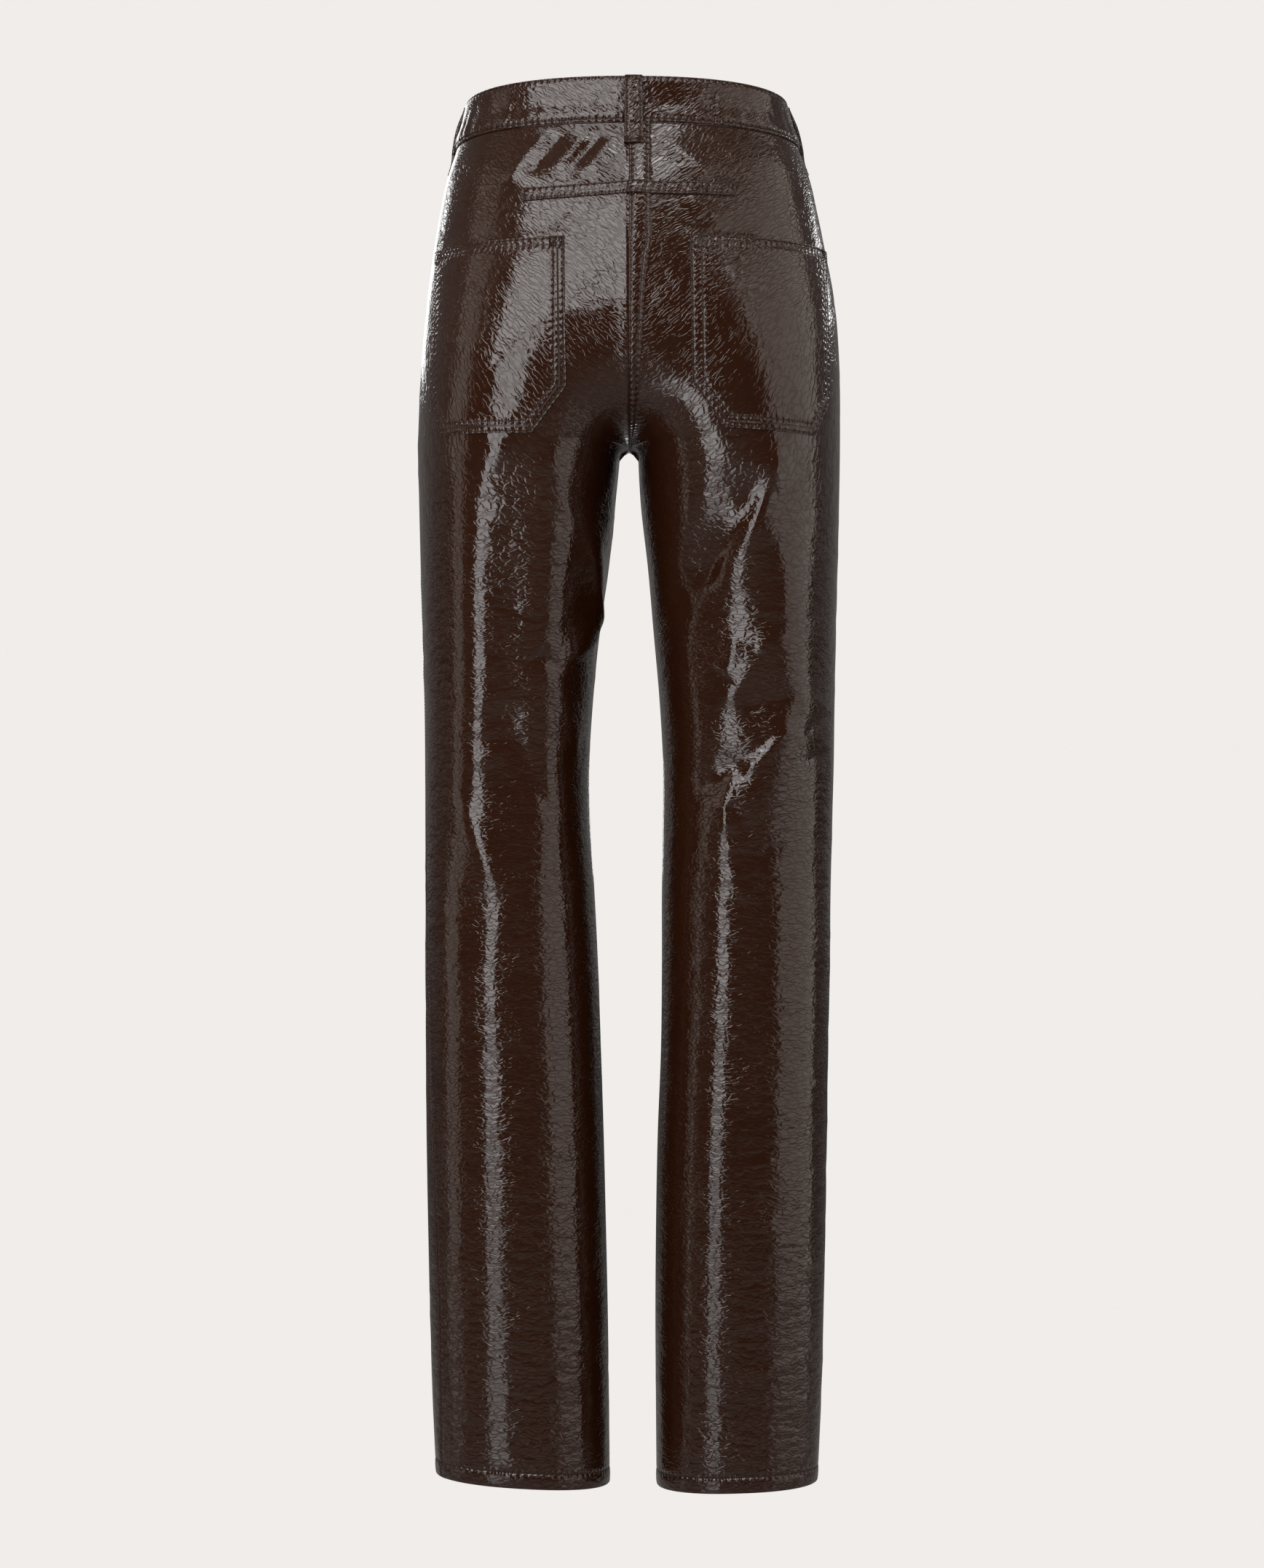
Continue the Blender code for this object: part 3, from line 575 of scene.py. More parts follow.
def panel(name, side, face, above, below, columns, step):
    """One leg panel as a closed shell, with its rows of stitches."""
    inner, outer = row_depths(side, face, above, below)
    inner = inner[:, None]
    outer = outer[:, None]
    probe = base_form(side, *row_turns(side, face, inner, outer, np.linspace(0, 1, 60)[None, :]))
    length = np.linalg.norm(np.diff(probe, axis=1), axis=2).sum(axis=1)[:, None]
    gap = SEAM_GAP / 2 / length
    lapped = side == "right" and face > 0
    outer_edge = gap + EDGE_COLUMNS[None, :] / length
    inner_edge = 1 - gap - (LAP_COLUMNS if lapped else EDGE_COLUMNS)[::-1][None, :] / length
    middle = np.linspace(0, 1, columns - outer_edge.shape[1] - inner_edge.shape[1] + 2)[None, 1:-1]
    middle = outer_edge[:, -1:] + (inner_edge[:, :1] - outer_edge[:, -1:]) * middle
    share = np.concatenate([outer_edge, middle, inner_edge], axis=1)
    turn, down = row_turns(side, face, inner, outer, share)
    plain = outward(side, turn, down)
    points = base_form(side, turn, down) + surface_lift(side, turn, down)[..., None] * plain
    normals = grid_normals(points, plain)

    from_outer = (share - gap) * length
    from_inner = (1 - gap - share) * length
    from_band = down - (BAND_DEPTH + SEAM_GAP)
    to_hem = LEG_DOWN - down
    roll = -OUTSEAM_DIP[0] * bell(from_outer, OUTSEAM_DIP[1])
    roll += OUTSEAM_LIFT * smooth((ALLOWANCE - from_outer) / (2 * MM)) * smooth(from_outer / MM)
    if not lapped:
        roll -= INSEAM_DIP[0] * bell(from_inner, INSEAM_DIP[1])
        roll += INSEAM_LIFT * smooth((ALLOWANCE - from_inner) / (2 * MM))
    roll -= BAND_DIP[0] * bell(from_band, BAND_DIP[1])
    roll -= HEM_DIP[0] * bell(to_hem - HEM_DEPTH, HEM_DIP[1])
    roll += HEM_PUFF * np.sin(np.pi * np.clip(to_hem / HEM_DEPTH, 0, 1))
    short = np.maximum(HEM_ROUND - to_hem, 0)
    roll -= HEM_ROUND - np.sqrt(HEM_ROUND ** 2 - short ** 2)
    outer_points = points + roll[..., None] * normals
    if lapped:
        raise_way = normals * np.array([0, 1, 1])
        raise_way /= np.maximum(np.linalg.norm(raise_way, axis=-1, keepdims=True), 1e-6)
        above_share = np.clip(np.arange(len(inner))[:, None] / (above + 2), 0, 1)
        outer_points = outer_points + lap_lift(from_inner, above_share)[..., None] * raise_way
    # the turned hem is thicker, and rounded at its edge inside as well
    wall = np.where(to_hem < HEM_DEPTH + 0.3 * MM, HEM_CLOTH, CLOTH)
    wall = np.where(to_hem < 0.6 * MM, HEM_CLOTH - 0.7 * MM, wall)
    inner_points = points - wall[..., None] * normals

    rows, width = share.shape
    hem_rows = range(rows - len(HEM_ROWS), rows, 2)
    piece = shell(name, outer_points, inner_points, hold_rows(rows, step, hem_rows),
                  hold_rows(width, step), rows - len(HEM_ROWS) + 1)
    facing(piece, normals[0, 0])
    routes = [outer_points[-len(HEM_ROWS) + 1]]
    if face > 0:
        routes.append(outer_points[:, np.abs(EDGE_COLUMNS - OUTSEAM_ROW).argmin()])
    if lapped:
        seat = range(above + 2)
        routes += [outer_points[seat, -1 - np.abs(LAP_COLUMNS - row).argmin()] for row in LAP_ROWS]
    sew(piece, *routes)
    return piece


# The vinyl is dark brown with a mirror gloss, broken up by a fine crackle of short ridges. They run
# level on the legs and slant outwards and up over the seat. Beside each row of stitches the
# coating is pulled into small puckers. In the grooves of both the clear coat is thinned, which
# paints shade into them.
VINYL_COLOUR = (0.0270, 0.0080, 0.0030, 1)
VINYL_LIGHTER = (0.0360, 0.0112, 0.0046, 1)
VINYL_ROUGHNESS = (0.07, 0.11)
BACKING_COLOUR = (0.030, 0.017, 0.012, 1)
BACKING_LIGHTER = (0.052, 0.032, 0.024, 1)


def fill(tree, made, inputs):
    """Sets a node's inputs, by name or number, to values, or links them to output sockets."""
    for name, value in inputs.items():
        if isinstance(value, bpy.types.NodeSocket):
            tree.links.new(value, made.inputs[name])
        else:
            made.inputs[name].default_value = value


def node(tree, kind, inputs=None, **settings):
    """Adds a node with its settings, and fills its inputs."""
    made = tree.nodes.new(kind)
    for name, value in settings.items():
        setattr(made, name, value)
    fill(tree, made, inputs or {})
    return made


def calc(tree, operation, *values):
    """The output of a Math node of numbers or output sockets."""
    return node(tree, "ShaderNodeMath", dict(enumerate(values)), operation=operation).outputs[0]


def noise(tree, vector, scale, detail):
    """The value of a Noise Texture."""
    return node(tree, "ShaderNodeTexNoise", {"Vector": vector, "Scale": scale,
                                             "Detail": detail}).outputs["Fac"]


def voronoi(tree, vector, scale, feature="F1"):
    """The distance of a Voronoi Texture."""
    return node(tree, "ShaderNodeTexVoronoi", {"Vector": vector, "Scale": scale},
                feature=feature).outputs["Distance"]


def map_range(tree, value, ends, results, interpolation_type="LINEAR"):
    """Maps a value from the range between two ends to that between two results."""
    return node(tree, "ShaderNodeMapRange", {
        "Value": value, "From Min": ends[0], "From Max": ends[1], "To Min": results[0],
        "To Max": results[1]}, interpolation_type=interpolation_type).outputs[0]


def blend(tree, factor, first, second):
    """A colour between two."""
    return node(tree, "ShaderNodeMix", {"Factor": factor, "A": first, "B": second},
                data_type="RGBA").outputs["Result"]


def principled(name, inputs):
    """A material whose Principled shader has these inputs, by name. Gives its tree too."""
    made = bpy.data.materials.new(name)
    made.use_nodes = True
    fill(made.node_tree, made.node_tree.nodes["Principled BSDF"], inputs)
    return made, made.node_tree


def group_with(name, inputs, outputs):
    """A shader node group with named sockets, with the given sockets in it and its output node."""
    tree = bpy.data.node_groups.new(name, "ShaderNodeTree")
    for socket, value in inputs:
        kind = "NodeSocketVector" if value is None else "NodeSocketFloat"
        made = tree.interface.new_socket(socket, in_out="INPUT", socket_type=kind)
        if value is not None:
            made.default_value = value
    for socket in outputs:
        tree.interface.new_socket(socket, in_out="OUTPUT", socket_type="NodeSocketFloat")
    return tree, tree.nodes.new("NodeGroupInput").outputs, tree.nodes.new("NodeGroupOutput")


def crackle_group():
    """The coating's crackle. Height is its relief in metres, Broad a slow change over the cloth,
    and the last output the share of the clear coat that is kept, which is less in the grooves as
    painted shade."""
    tree, given, result = group_with("vinyl_crackle", (
        ("Position", None), ("Ridge pitch", 2.6 * MM), ("Ridge length", 8.0 * MM), ("Slant", 0.7),
        ("Slant top", -0.16), ("Slant end", -0.36), ("Depth", 0.1 * MM), ("Groove", 0.1 * MM),
        ("Shade", 0.55), ("Swell", 0.7 * MM)), ("Height", "Broad", "Unshaded"))
    position = given["Position"]
    axes = node(tree, "ShaderNodeSeparateXYZ", {0: position}).outputs
    # above the legs the ridges turn outwards and up
    over_seat = map_range(tree, axes["Z"], (given["Slant end"], given["Slant top"]), (0.0, 1.0),
                        "SMOOTHSTEP")
    slant = calc(tree, "MULTIPLY", over_seat, given["Slant"])
    shift = calc(tree, "MULTIPLY", calc(tree, "ABSOLUTE", axes["X"]), slant)
    level = calc(tree, "SUBTRACT", axes["Z"], shift)
    bend = calc(tree, "SUBTRACT", noise(tree, position, 160.0, 1.0), 0.5)
    level = calc(tree, "ADD", level, calc(tree, "MULTIPLY", bend, 5.0 * MM))
    stretched = node(tree, "ShaderNodeCombineXYZ", {
        "X": calc(tree, "DIVIDE", axes["X"], given["Ridge length"]),
        "Y": calc(tree, "DIVIDE", axes["Y"], given["Ridge length"]),
        "Z": calc(tree, "DIVIDE", level, given["Ridge pitch"])}).outputs[0]
    # each ridge is a dome with grooves round it
    cell = voronoi(tree, stretched, 1.0)
    dome = calc(tree, "MULTIPLY", cell, cell)
    ridge = map_range(tree, voronoi(tree, stretched, 1.0, "DISTANCE_TO_EDGE"), (0.0, 0.17),
                    (0.0, 1.0), "SMOOTHSTEP")
    # painted shade: the clear coat is thinned in the grooves round each ridge
    shade = calc(tree, "MULTIPLY", calc(tree, "SUBTRACT", 1.0, ridge), given["Shade"])
    patch = noise(tree, position, 34.0, 2.0)
    uneven = map_range(tree, patch, (0.3, 0.7), (0.45, 1.25))
    height = calc(tree, "SUBTRACT", noise(tree, stretched, 0.8, 2.0), dome)
    height = calc(tree, "MULTIPLY", height, given["Depth"])
    height = calc(tree, "ADD", height, calc(tree, "MULTIPLY", ridge, given["Groove"]))
    height = calc(tree, "MULTIPLY", height, uneven)
    # longer waves, calmer over the seat
    calm = calc(tree, "SUBTRACT", 1.0, calc(tree, "MULTIPLY", over_seat, 0.6))
    swell = calc(tree, "MULTIPLY", noise(tree, stretched, 0.5, 1.0), given["Swell"])
    fill(tree, result, {
        "Height": calc(tree, "ADD", height, calc(tree, "MULTIPLY", swell, calm)),
        "Broad": patch,
        "Unshaded": calc(tree, "SUBTRACT", 1.0, shade)})
    return tree


def pucker_group():
    """The cloth beside a row of stitches: a groove, and puckers across it at their pitch. Its
    second output thins the clear coat in the groove, as painted shade.
    """
    tree, given, result = group_with("stitch_puckers", (
        ("Away", 1.0), ("At", 0.0), ("Pitch", 2.6 * MM), ("Groove", 0.35 * MM),
        ("Groove width", 0.7 * MM), ("Pucker", 0.36 * MM), ("Reach", 2.3 * MM),
        ("Position", None)), ("Height", "Unshaded"))

    def fading(width):
        share = calc(tree, "DIVIDE", given["Away"], width)
        square = calc(tree, "MULTIPLY", share, share)
        return calc(tree, "EXPONENT", calc(tree, "MULTIPLY", square, -1.0))

    near = fading(given["Groove width"])
    turn = calc(tree, "MULTIPLY", calc(tree, "DIVIDE", given["At"], given["Pitch"]), math.pi)
    wander = calc(tree, "MULTIPLY", noise(tree, given["Position"], 260.0, 1.0), 3.0)
    wave = calc(tree, "SINE", calc(tree, "ADD", turn, wander))
    wave = calc(tree, "MULTIPLY", calc(tree, "MULTIPLY", wave, given["Pucker"]),
                fading(given["Reach"]))
    fill(tree, result, {
        "Height": calc(tree, "SUBTRACT", wave, calc(tree, "MULTIPLY", near, given["Groove"])),
        # painted shade: the clear coat is thinned in the groove beside the stitches
        "Unshaded": calc(tree, "SUBTRACT", 1.0, calc(tree, "MULTIPLY", near, 0.85))})
    return tree


def vinyl_material():
    """Patent vinyl, whose colour layer and clear coat share the relief of crackle and puckers.
    The clear coat is thinned in their grooves, as painted shade.
    """
    vinyl, tree = principled("patent_vinyl", {"IOR": 1.5, "Coat Roughness": 0.05,
                                              "Specular IOR Level": 0.4})
    place = tree.nodes.new("ShaderNodeTexCoord").outputs["Object"]
    away = node(tree, "ShaderNodeAttribute", attribute_name="row_away").outputs["Fac"]
    along = node(tree, "ShaderNodeAttribute", attribute_name="row_at").outputs["Fac"]
    crackle = node(tree, "ShaderNodeGroup", node_tree=crackle_group())
    fill(tree, crackle, {"Position": place})
    puckers = node(tree, "ShaderNodeGroup", node_tree=pucker_group())
    fill(tree, puckers, {"Position": place, "Away": away, "At": along})
    relief = calc(tree, "ADD", crackle.outputs["Height"], puckers.outputs["Height"])
    bump = node(tree, "ShaderNodeBump", {"Strength": 1.0, "Distance": 1.0, "Height": relief})
    broad = crackle.outputs["Broad"]
    fill(tree, tree.nodes["Principled BSDF"], {
        "Base Color": blend(tree, broad, VINYL_COLOUR, VINYL_LIGHTER),
        "Roughness": map_range(tree, broad, (0.0, 1.0), VINYL_ROUGHNESS),
        # painted shade: the coat weight drops in the crackle's grooves and beside the stitches
        "Coat Weight": calc(tree, "MULTIPLY", crackle.outputs["Unshaded"], puckers.outputs["Unshaded"]),
        "Normal": bump.outputs["Normal"],
        "Coat Normal": bump.outputs["Normal"]})
    return vinyl


def backing_material():
    """Brushed knit on the inside of the vinyl."""
    knit, tree = principled("knit_backing", {"Roughness": 0.9, "Sheen Weight": 0.2})
    place = tree.nodes.new("ShaderNodeTexCoord").outputs["Object"]
    loops = voronoi(tree, place, 900.0)
    bump = node(tree, "ShaderNodeBump", {"Strength": 0.6, "Distance": 0.2 * MM, "Height": loops})
    fill(tree, tree.nodes["Principled BSDF"], {
        "Base Color": blend(tree, loops, BACKING_COLOUR, BACKING_LIGHTER),
        "Normal": bump.outputs["Normal"]})
    return knit


VINYL = vinyl_material()
BACKING = backing_material()

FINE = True
# Rows above and below the crotch, columns, and one in how many of them the inner wall keeps
BACK_MESH = (140, 370, 122, 3) if FINE else (60, 150, 60, 3)
for side in ("left", "right"):
    name = "back_" + side
    piece = panel("cloth_" + name, side, 1, *BACK_MESH)
    piece.data.materials.append(VINYL)
    piece.data.materials.append(BACKING)
    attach(piece, "root")
    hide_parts(name)


# ---- Front panels ----------------------------------------------------------------------------
# The two front legs are of the same vinyl, cut narrower than the back legs. They are sewn to them
# at the outseams and inseams, and to each other down the front.

FRONT_MESH = (100, 260, 88, 3) if FINE else (50, 120, 44, 3)
for side in ("left", "right"):
    name = "front_" + side
    piece = panel("cloth_" + name, side, -1, *FRONT_MESH)
    piece.data.materials.append(VINYL)
    piece.data.materials.append(BACKING)
    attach(piece, "root")
    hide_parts(name)


# ---- Back pockets ----------------------------------------------------------------------------
# Two plain patch pockets with slanted lower corners, of the same vinyl. Their edges are turned
# under, which leaves a raised border, and two rows of stitches follow them all round.

POCKET_LEFT = (((146, 120), (149, 235), (140.5, 265)), ((47.5, 120), (46.5, 231), (72.5, 265)))
POCKET_RIGHT = (((-45, 118.5), (-47, 228.5), (-70.7, 261)),
                ((-149.5, 118), (-150.5, 236), (-138.5, 265)))
LAID_CLOTH = 1.0 * MM           # thickness of one layer
LAID_BORDER = 0.8 * MM          # and what its turned border adds
LAID_EDGE = 0.35 * MM           # height at which the border's round edge starts
LAID_PUFF = 0.35 * MM           # the border bulges between its rows of stitches
LAID_SEWN = (0.24 * MM, 0.42 * MM)  # and is drawn in beside them, how far and over what width
BORDER_WIDTH = 10 * MM
LAP_OVER = 1.3 * MM             # what crosses the felled seam lies this much higher
POCKET_ROWS = (1.3 * MM, 8.7 * MM)
POCKET_STOPS = np.array([0, 0.25, 0.6, 1.0, 1.4, 2.0, 3.0, 4.4, 6.0, 7.4, 8.3, 8.8, 9.4, 10.1, 10.8,
                         12.0]) * MM


def on_panels(face, across, level):
    """The panels' surface at distances across and below the origin, and its plain directions."""
    points = np.zeros(across.shape + (3,))
    plain = np.zeros(across.shape + (3,))
    for side, chosen in (("left", across >= 0), ("right", across < 0)):
        if not chosen.any():
            continue
        there = across[chosen]
        down = level[chosen]
        for _ in range(4):
            base = base_form(side, turn_at(side, face, there, down), down)
            down = down + base[:, 2] + level[chosen]
        turn = turn_at(side, face, there, down)
        way = outward(side, turn, down)
        points[chosen] = base_form(side, turn, down) + surface_lift(side, turn, down)[:, None] * way
        plain[chosen] = way
    return points, plain


def stops_along(length, near, step):
    """Shares of a length that are close together near both its ends."""
    count = max(2, round((length - 2 * near[-1]) / step) + 1)
    inside = np.linspace(near[-1], length - near[-1], count)[1:-1]
    return np.concatenate([near, inside, (length - near)[::-1]]) / length


def border_height(away, rows):
    """Height of a laid piece at a distance from its edge: a round edge, then the turned border
    with its rows of stitches drawn in, and the single layer."""
    edge = np.sqrt(1 - (1 - np.clip(away / (0.8 * MM), 0, 1)) ** 2)
    border = LAID_BORDER * (1 - smooth((away - BORDER_WIDTH + 0.5 * MM) / (1.4 * MM)))
    between = np.clip((away - rows[0]) / (rows[-1] - rows[0] + 1e-9), 0, 1)
    puff = LAID_PUFF * np.sin(np.pi * between)
    sewn = sum(LAID_SEWN[0] * bell(away - row, LAID_SEWN[1]) for row in rows)
    return SEAM_GAP + LAID_EDGE + (LAID_CLOTH - LAID_EDGE + border) * edge + puff - sewn


def crossing(points, gap, distance):
    """Where a gap that grows along each row of a grid reaches a distance."""
    after = np.maximum((gap > distance).argmax(axis=1), 1)
    rows = np.arange(len(gap))
    start = gap[rows, after - 1]
    share = np.clip((distance - start) / (gap[rows, after] - start), 0, 1)[:, None]
    return points[rows, after - 1] * (1 - share) + points[rows, after] * share


def laid_piece(name, face, sides, near, step, rows, top_rows):
    """A piece cut to an outline and laid on the panels: a closed shell, sewn along its edges. The
    outline is given as its two sides, from top to bottom, as distance across and level in mm."""
    one, other = (np.array(side) * MM for side in sides)
    high = max(one[-1, 1] - one[0, 1], other[-1, 1] - other[0, 1])
    wide = np.ptp(np.concatenate([one[:, 0], other[:, 0]]))
    share_down = stops_along(high, near, step)[:, None]
    share_across = stops_along(wide, near, step)[None, :]
    ends = []
    for side in (one, other):
        level = side[0, 1] + (side[-1, 1] - side[0, 1]) * share_down
        ends.append((np.interp(level, side[:, 1], side[:, 0]), level))
    across = ends[0][0] * (1 - share_across) + ends[1][0] * share_across
    level = ends[0][1] * (1 - share_across) + ends[1][1] * share_across
    points, plain = on_panels(face, across, level)
    normals = grid_normals(points, plain)
    if face > 0:
        over = LAP_OVER * smooth((1.3 * MM - across) / (1.4 * MM)) * smooth(
            (across + LAP_WIDTH + 2 * MM) / (2 * MM))
        points = points + over[..., None] * normals
    flat = points.reshape(-1, 3)
    first, last, top, bottom = (beside(flat, edge)[0].reshape(across.shape) for edge in (
        points[:, 0], points[:, -1], points[0], points[-1]))
    edges = np.minimum(np.minimum(first, last), bottom)
    height = border_height(edges, rows)
    if top_rows:
        height = np.minimum(height, border_height(top, top_rows))
    outer = points + height[..., None] * normals
    inner = points + SEAM_GAP * normals
    count_down, count_across = across.shape
    piece = shell(name, outer, inner, hold_rows(count_down, 3), hold_rows(count_across, 3))
    facing(piece, normals[0, 0])
    routes = []
    for row in rows:
        left = crossing(outer, first, row)
        under = crossing(outer[::-1].swapaxes(0, 1), bottom[::-1].T, row)
        right = crossing(outer[:, ::-1], last[:, ::-1], row)
        left = left[beside(left, points[-1])[0] > row * 0.97]
        right = right[beside(right, points[-1])[0] > row * 0.97]
        inside = (beside(under, points[:, 0])[0] > row * 0.97) & (
            beside(under, points[:, -1])[0] > row * 0.97)
        routes.append(np.concatenate([left, under[inside], right[::-1]]))
    for row in top_rows:
        over = crossing(outer.swapaxes(0, 1), top.T, row)
        clear = (beside(over, points[:, 0])[0] > rows[0]) & (
            beside(over, points[:, -1])[0] > rows[0])
        routes.append(over[clear])
    sew(piece, *routes)
    return piece


for name, sides in (("pocket_left", POCKET_LEFT), ("pocket_right", POCKET_RIGHT)):
    piece = laid_piece("cloth_" + name, 1, sides, POCKET_STOPS, 1.5 * MM, POCKET_ROWS,
                       (1.3 * MM, 7.0 * MM))
    piece.data.materials.append(VINYL)
    piece.data.materials.append(BACKING)
    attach(piece, "root")
    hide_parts(name)


# ---- Seat strip ------------------------------------------------------------------------------
# A narrow strip of vinyl, laid level across the seat and over the seat seam. Its edges are turned
# under and sewn down all round.

STRIP_SIDES = (((78.5, 81), (78.5, 91)), ((-79, 77), (-79, 87)))
STRIP_STOPS = np.array([0, 0.25, 0.6, 1.0, 1.4, 2.0, 3.0, 4.0]) * MM
piece = laid_piece("cloth_seat_strip", 1, STRIP_SIDES, STRIP_STOPS, 1.0 * MM, (1.2 * MM,),
                   (1.2 * MM,))
piece.data.materials.append(VINYL)
piece.data.materials.append(BACKING)
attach(piece, "root")
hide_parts("seat_strip")


# ---- Fly -------------------------------------------------------------------------------------
# A vinyl facing laid on the left front, from the waistband down. Two rows of stitches follow its
# curved edge, and its other edge lies at the centre front.

FLY_SIDES = (((36, 38), (36, 160), (33, 176), (25, 190), (12, 199)), ((-3, 38), (-3, 203)))
piece = laid_piece("cloth_fly", -1, FLY_SIDES, POCKET_STOPS, 1.5 * MM, (1.3 * MM, 7.6 * MM), ())
piece.data.materials.append(VINYL)
piece.data.materials.append(BACKING)
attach(piece, "root")
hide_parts("fly")


# ---- Waistband -------------------------------------------------------------------------------
# A folded strip of vinyl round the waist, 36 mm high. Its upper end laps over its lower end at
# the centre front. Its lower edge is rolled, with a row of stitches along it, and another row
# follows the top edge.

BAND_UNDER = 28 * MM            # underlap past the centre front
BAND_OVER = 12 * MM             # overlap past the centre front
BAND_LAP = 3.4 * MM             # the upper end lies this much further out
BAND_RAMP = (34, 20)            # degrees before the centre front where it starts and is full
BAND_FILLED = 13.2              # degrees before the centre front where its inner face leaves too
BAND_INNER = -1.3 * MM          # its inner face, from the form
BAND_INNER_END = 35.6 * MM      # and how far down that goes
# Its outer face from top to bottom: depth and distance out from the form, in mm.
BAND_FACE = ((1.1, 0.95), (1.7, 0.75), (3, 1.0), (9, 0.92), (16, 0.95), (22, 1.15), (27, 1.7),
             (30.5, 1.85), (32.6, 1.5), (33.8, 0.95), (34.8, 1.15), (35.6, 0.8), (36, 0.35))
BAND_ROWS = (1.7, 33.8)
BAND_WAVES = 26                 # uneven ripples of its lower edge
BAND_RIPPLE = 0.10 * MM


def round_waist(angle, down, out):
    """Points at an angle round the waist, 0 at the wearer's left and 90 at the back."""
    angle, down, out = np.broadcast_arrays((angle + 180) % 360 - 180, down, out)
    points = np.zeros(angle.shape + (3,))
    for side, chosen in (("left", np.abs(angle) <= 90), ("right", np.abs(angle) > 90)):
        turn = angle[chosen] if side == "left" else (360 - angle[chosen]) % 360 - 180
        way = outward(side, turn, down[chosen])
        points[chosen] = base_form(side, turn, down[chosen]) + out[chosen][:, None] * way
    return points


def band_profile():
    """Outer face of the band from the inside of its folded top to its lower edge."""
    turn = np.radians(np.linspace(180, 15, 9))
    top = np.stack([1.1 - 1.1 * np.sin(turn), -0.17 + 1.12 * np.cos(turn)], axis=1)
    down = np.concatenate([np.arange(1.4, 31, 0.85), np.arange(31, 36, 0.3), [36.0]])
    knots = np.array(BAND_FACE)
    face = np.stack([down, curve(knots[:, 0], knots[:, 1], down)], axis=1)
    under = np.array([[36.05, -0.1], [36.0, -0.6]])
    return np.concatenate([top, face, under]) * MM


half_width = SECTIONS["left_out"][0] * MM
start = -90 + math.degrees(BAND_UNDER / half_width)
stop = -450 - math.degrees(BAND_OVER / half_width)
angles = np.linspace(start, stop, 521 if FINE else 181)[None, :]
profile = band_profile()
down = profile[:, :1]
out = profile[:, 1:]
random = np.random.default_rng(3)
waves = sum(random.uniform(0.3, 1) * np.sin(np.radians(angles) * count + random.uniform(0, 6.3))
            for count in random.uniform(9, 70, BAND_WAVES))
ripple = BAND_RIPPLE * waves * smooth(down / (30 * MM)) * smooth((BAND_DEPTH - down) / (3 * MM))
before = angles + 450           # degrees still to go to the centre front at the upper end
lap = BAND_LAP * smooth((BAND_RAMP[0] - before) / (BAND_RAMP[0] - BAND_RAMP[1]))
outer = round_waist(angles, down, out + ripple * (out > 0) + lap)
filled = BAND_LAP * smooth((BAND_FILLED - before) / 1.2)
inner = round_waist(angles, np.minimum(down, BAND_INNER_END), BAND_INNER + filled)
inner_rows = [row for row in range(12, len(profile), 4) if down[row, 0] < BAND_INNER_END]
inner_rows = [0, *inner_rows, len(profile) - 1]
piece = shell("cloth_waistband", outer, inner, inner_rows, hold_rows(angles.size, 3))
middle = len(profile) // 2
facing(piece, outer[middle, 0] * (1, 1, 0), middle * (angles.size - 1))
row_places = [np.abs(down[:, 0] - row * MM).argmin() for row in BAND_ROWS]
front_end = outer[9:-2, -3]
sew(piece, *(outer[place, 2:-2] for place in row_places), front_end)
piece.data.materials.append(VINYL)
piece.data.materials.append(BACKING)
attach(piece, "root")
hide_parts("waistband")


# ---- Belt loops ------------------------------------------------------------------------------
# Five strips of vinyl, folded lengthwise, that stand off the band. Both long edges are sewn, and
# each end is sewn down, the upper one to the band and the lower one to the panel.

LOOP_WIDTH = 13 * MM
LOOP_CLOTH = 1.6 * MM
# Each loop's side, its turn round the waist, and how much further out it lies
LOOPS = {"belt_loop_back": ("right", 89, 0.9 * MM),
         "belt_loop_left": ("left", -3, 0),
         "belt_loop_right": ("right", -3, 0),
         "belt_loop_front_left": ("left", -52, 0),
         "belt_loop_front_right": ("right", -52, 0)}
# Their inner face from end to end: depth and distance out from the form, in mm.
LOOP_PROFILE = ((0.4, 1.4), (4, 1.5), (9, 2.3), (16, 3.3), (24, 3.5), (31, 3.0), (37, 2.2),
                (41, 1.2), (45, 0.4), (53.5, 0.4))
LOOP_ROW = 1.7 * MM             # stitches along both edges
LOOP_TACKS = (2.0 * MM, 51.5 * MM)  # rows across both ends
LOOP_EDGE = 0.5 * MM            # height at which the round edge starts
LOOP_PUFF = 0.2 * MM            # it bulges between the rows
LOOP_SEWN = (0.3 * MM, 0.4 * MM)   # how far the rows draw it in, and over what width
LOOP_TACKED = (0.4 * MM, 0.8 * MM)
LOOP_STOPS = np.array([0, 0.25, 0.6, 1.0, 1.7, 2.4, 3.4, 4.8, 6.5, 8.2, 9.6, 10.6, 11.3, 12, 12.4,
                       12.75, 13]) * MM


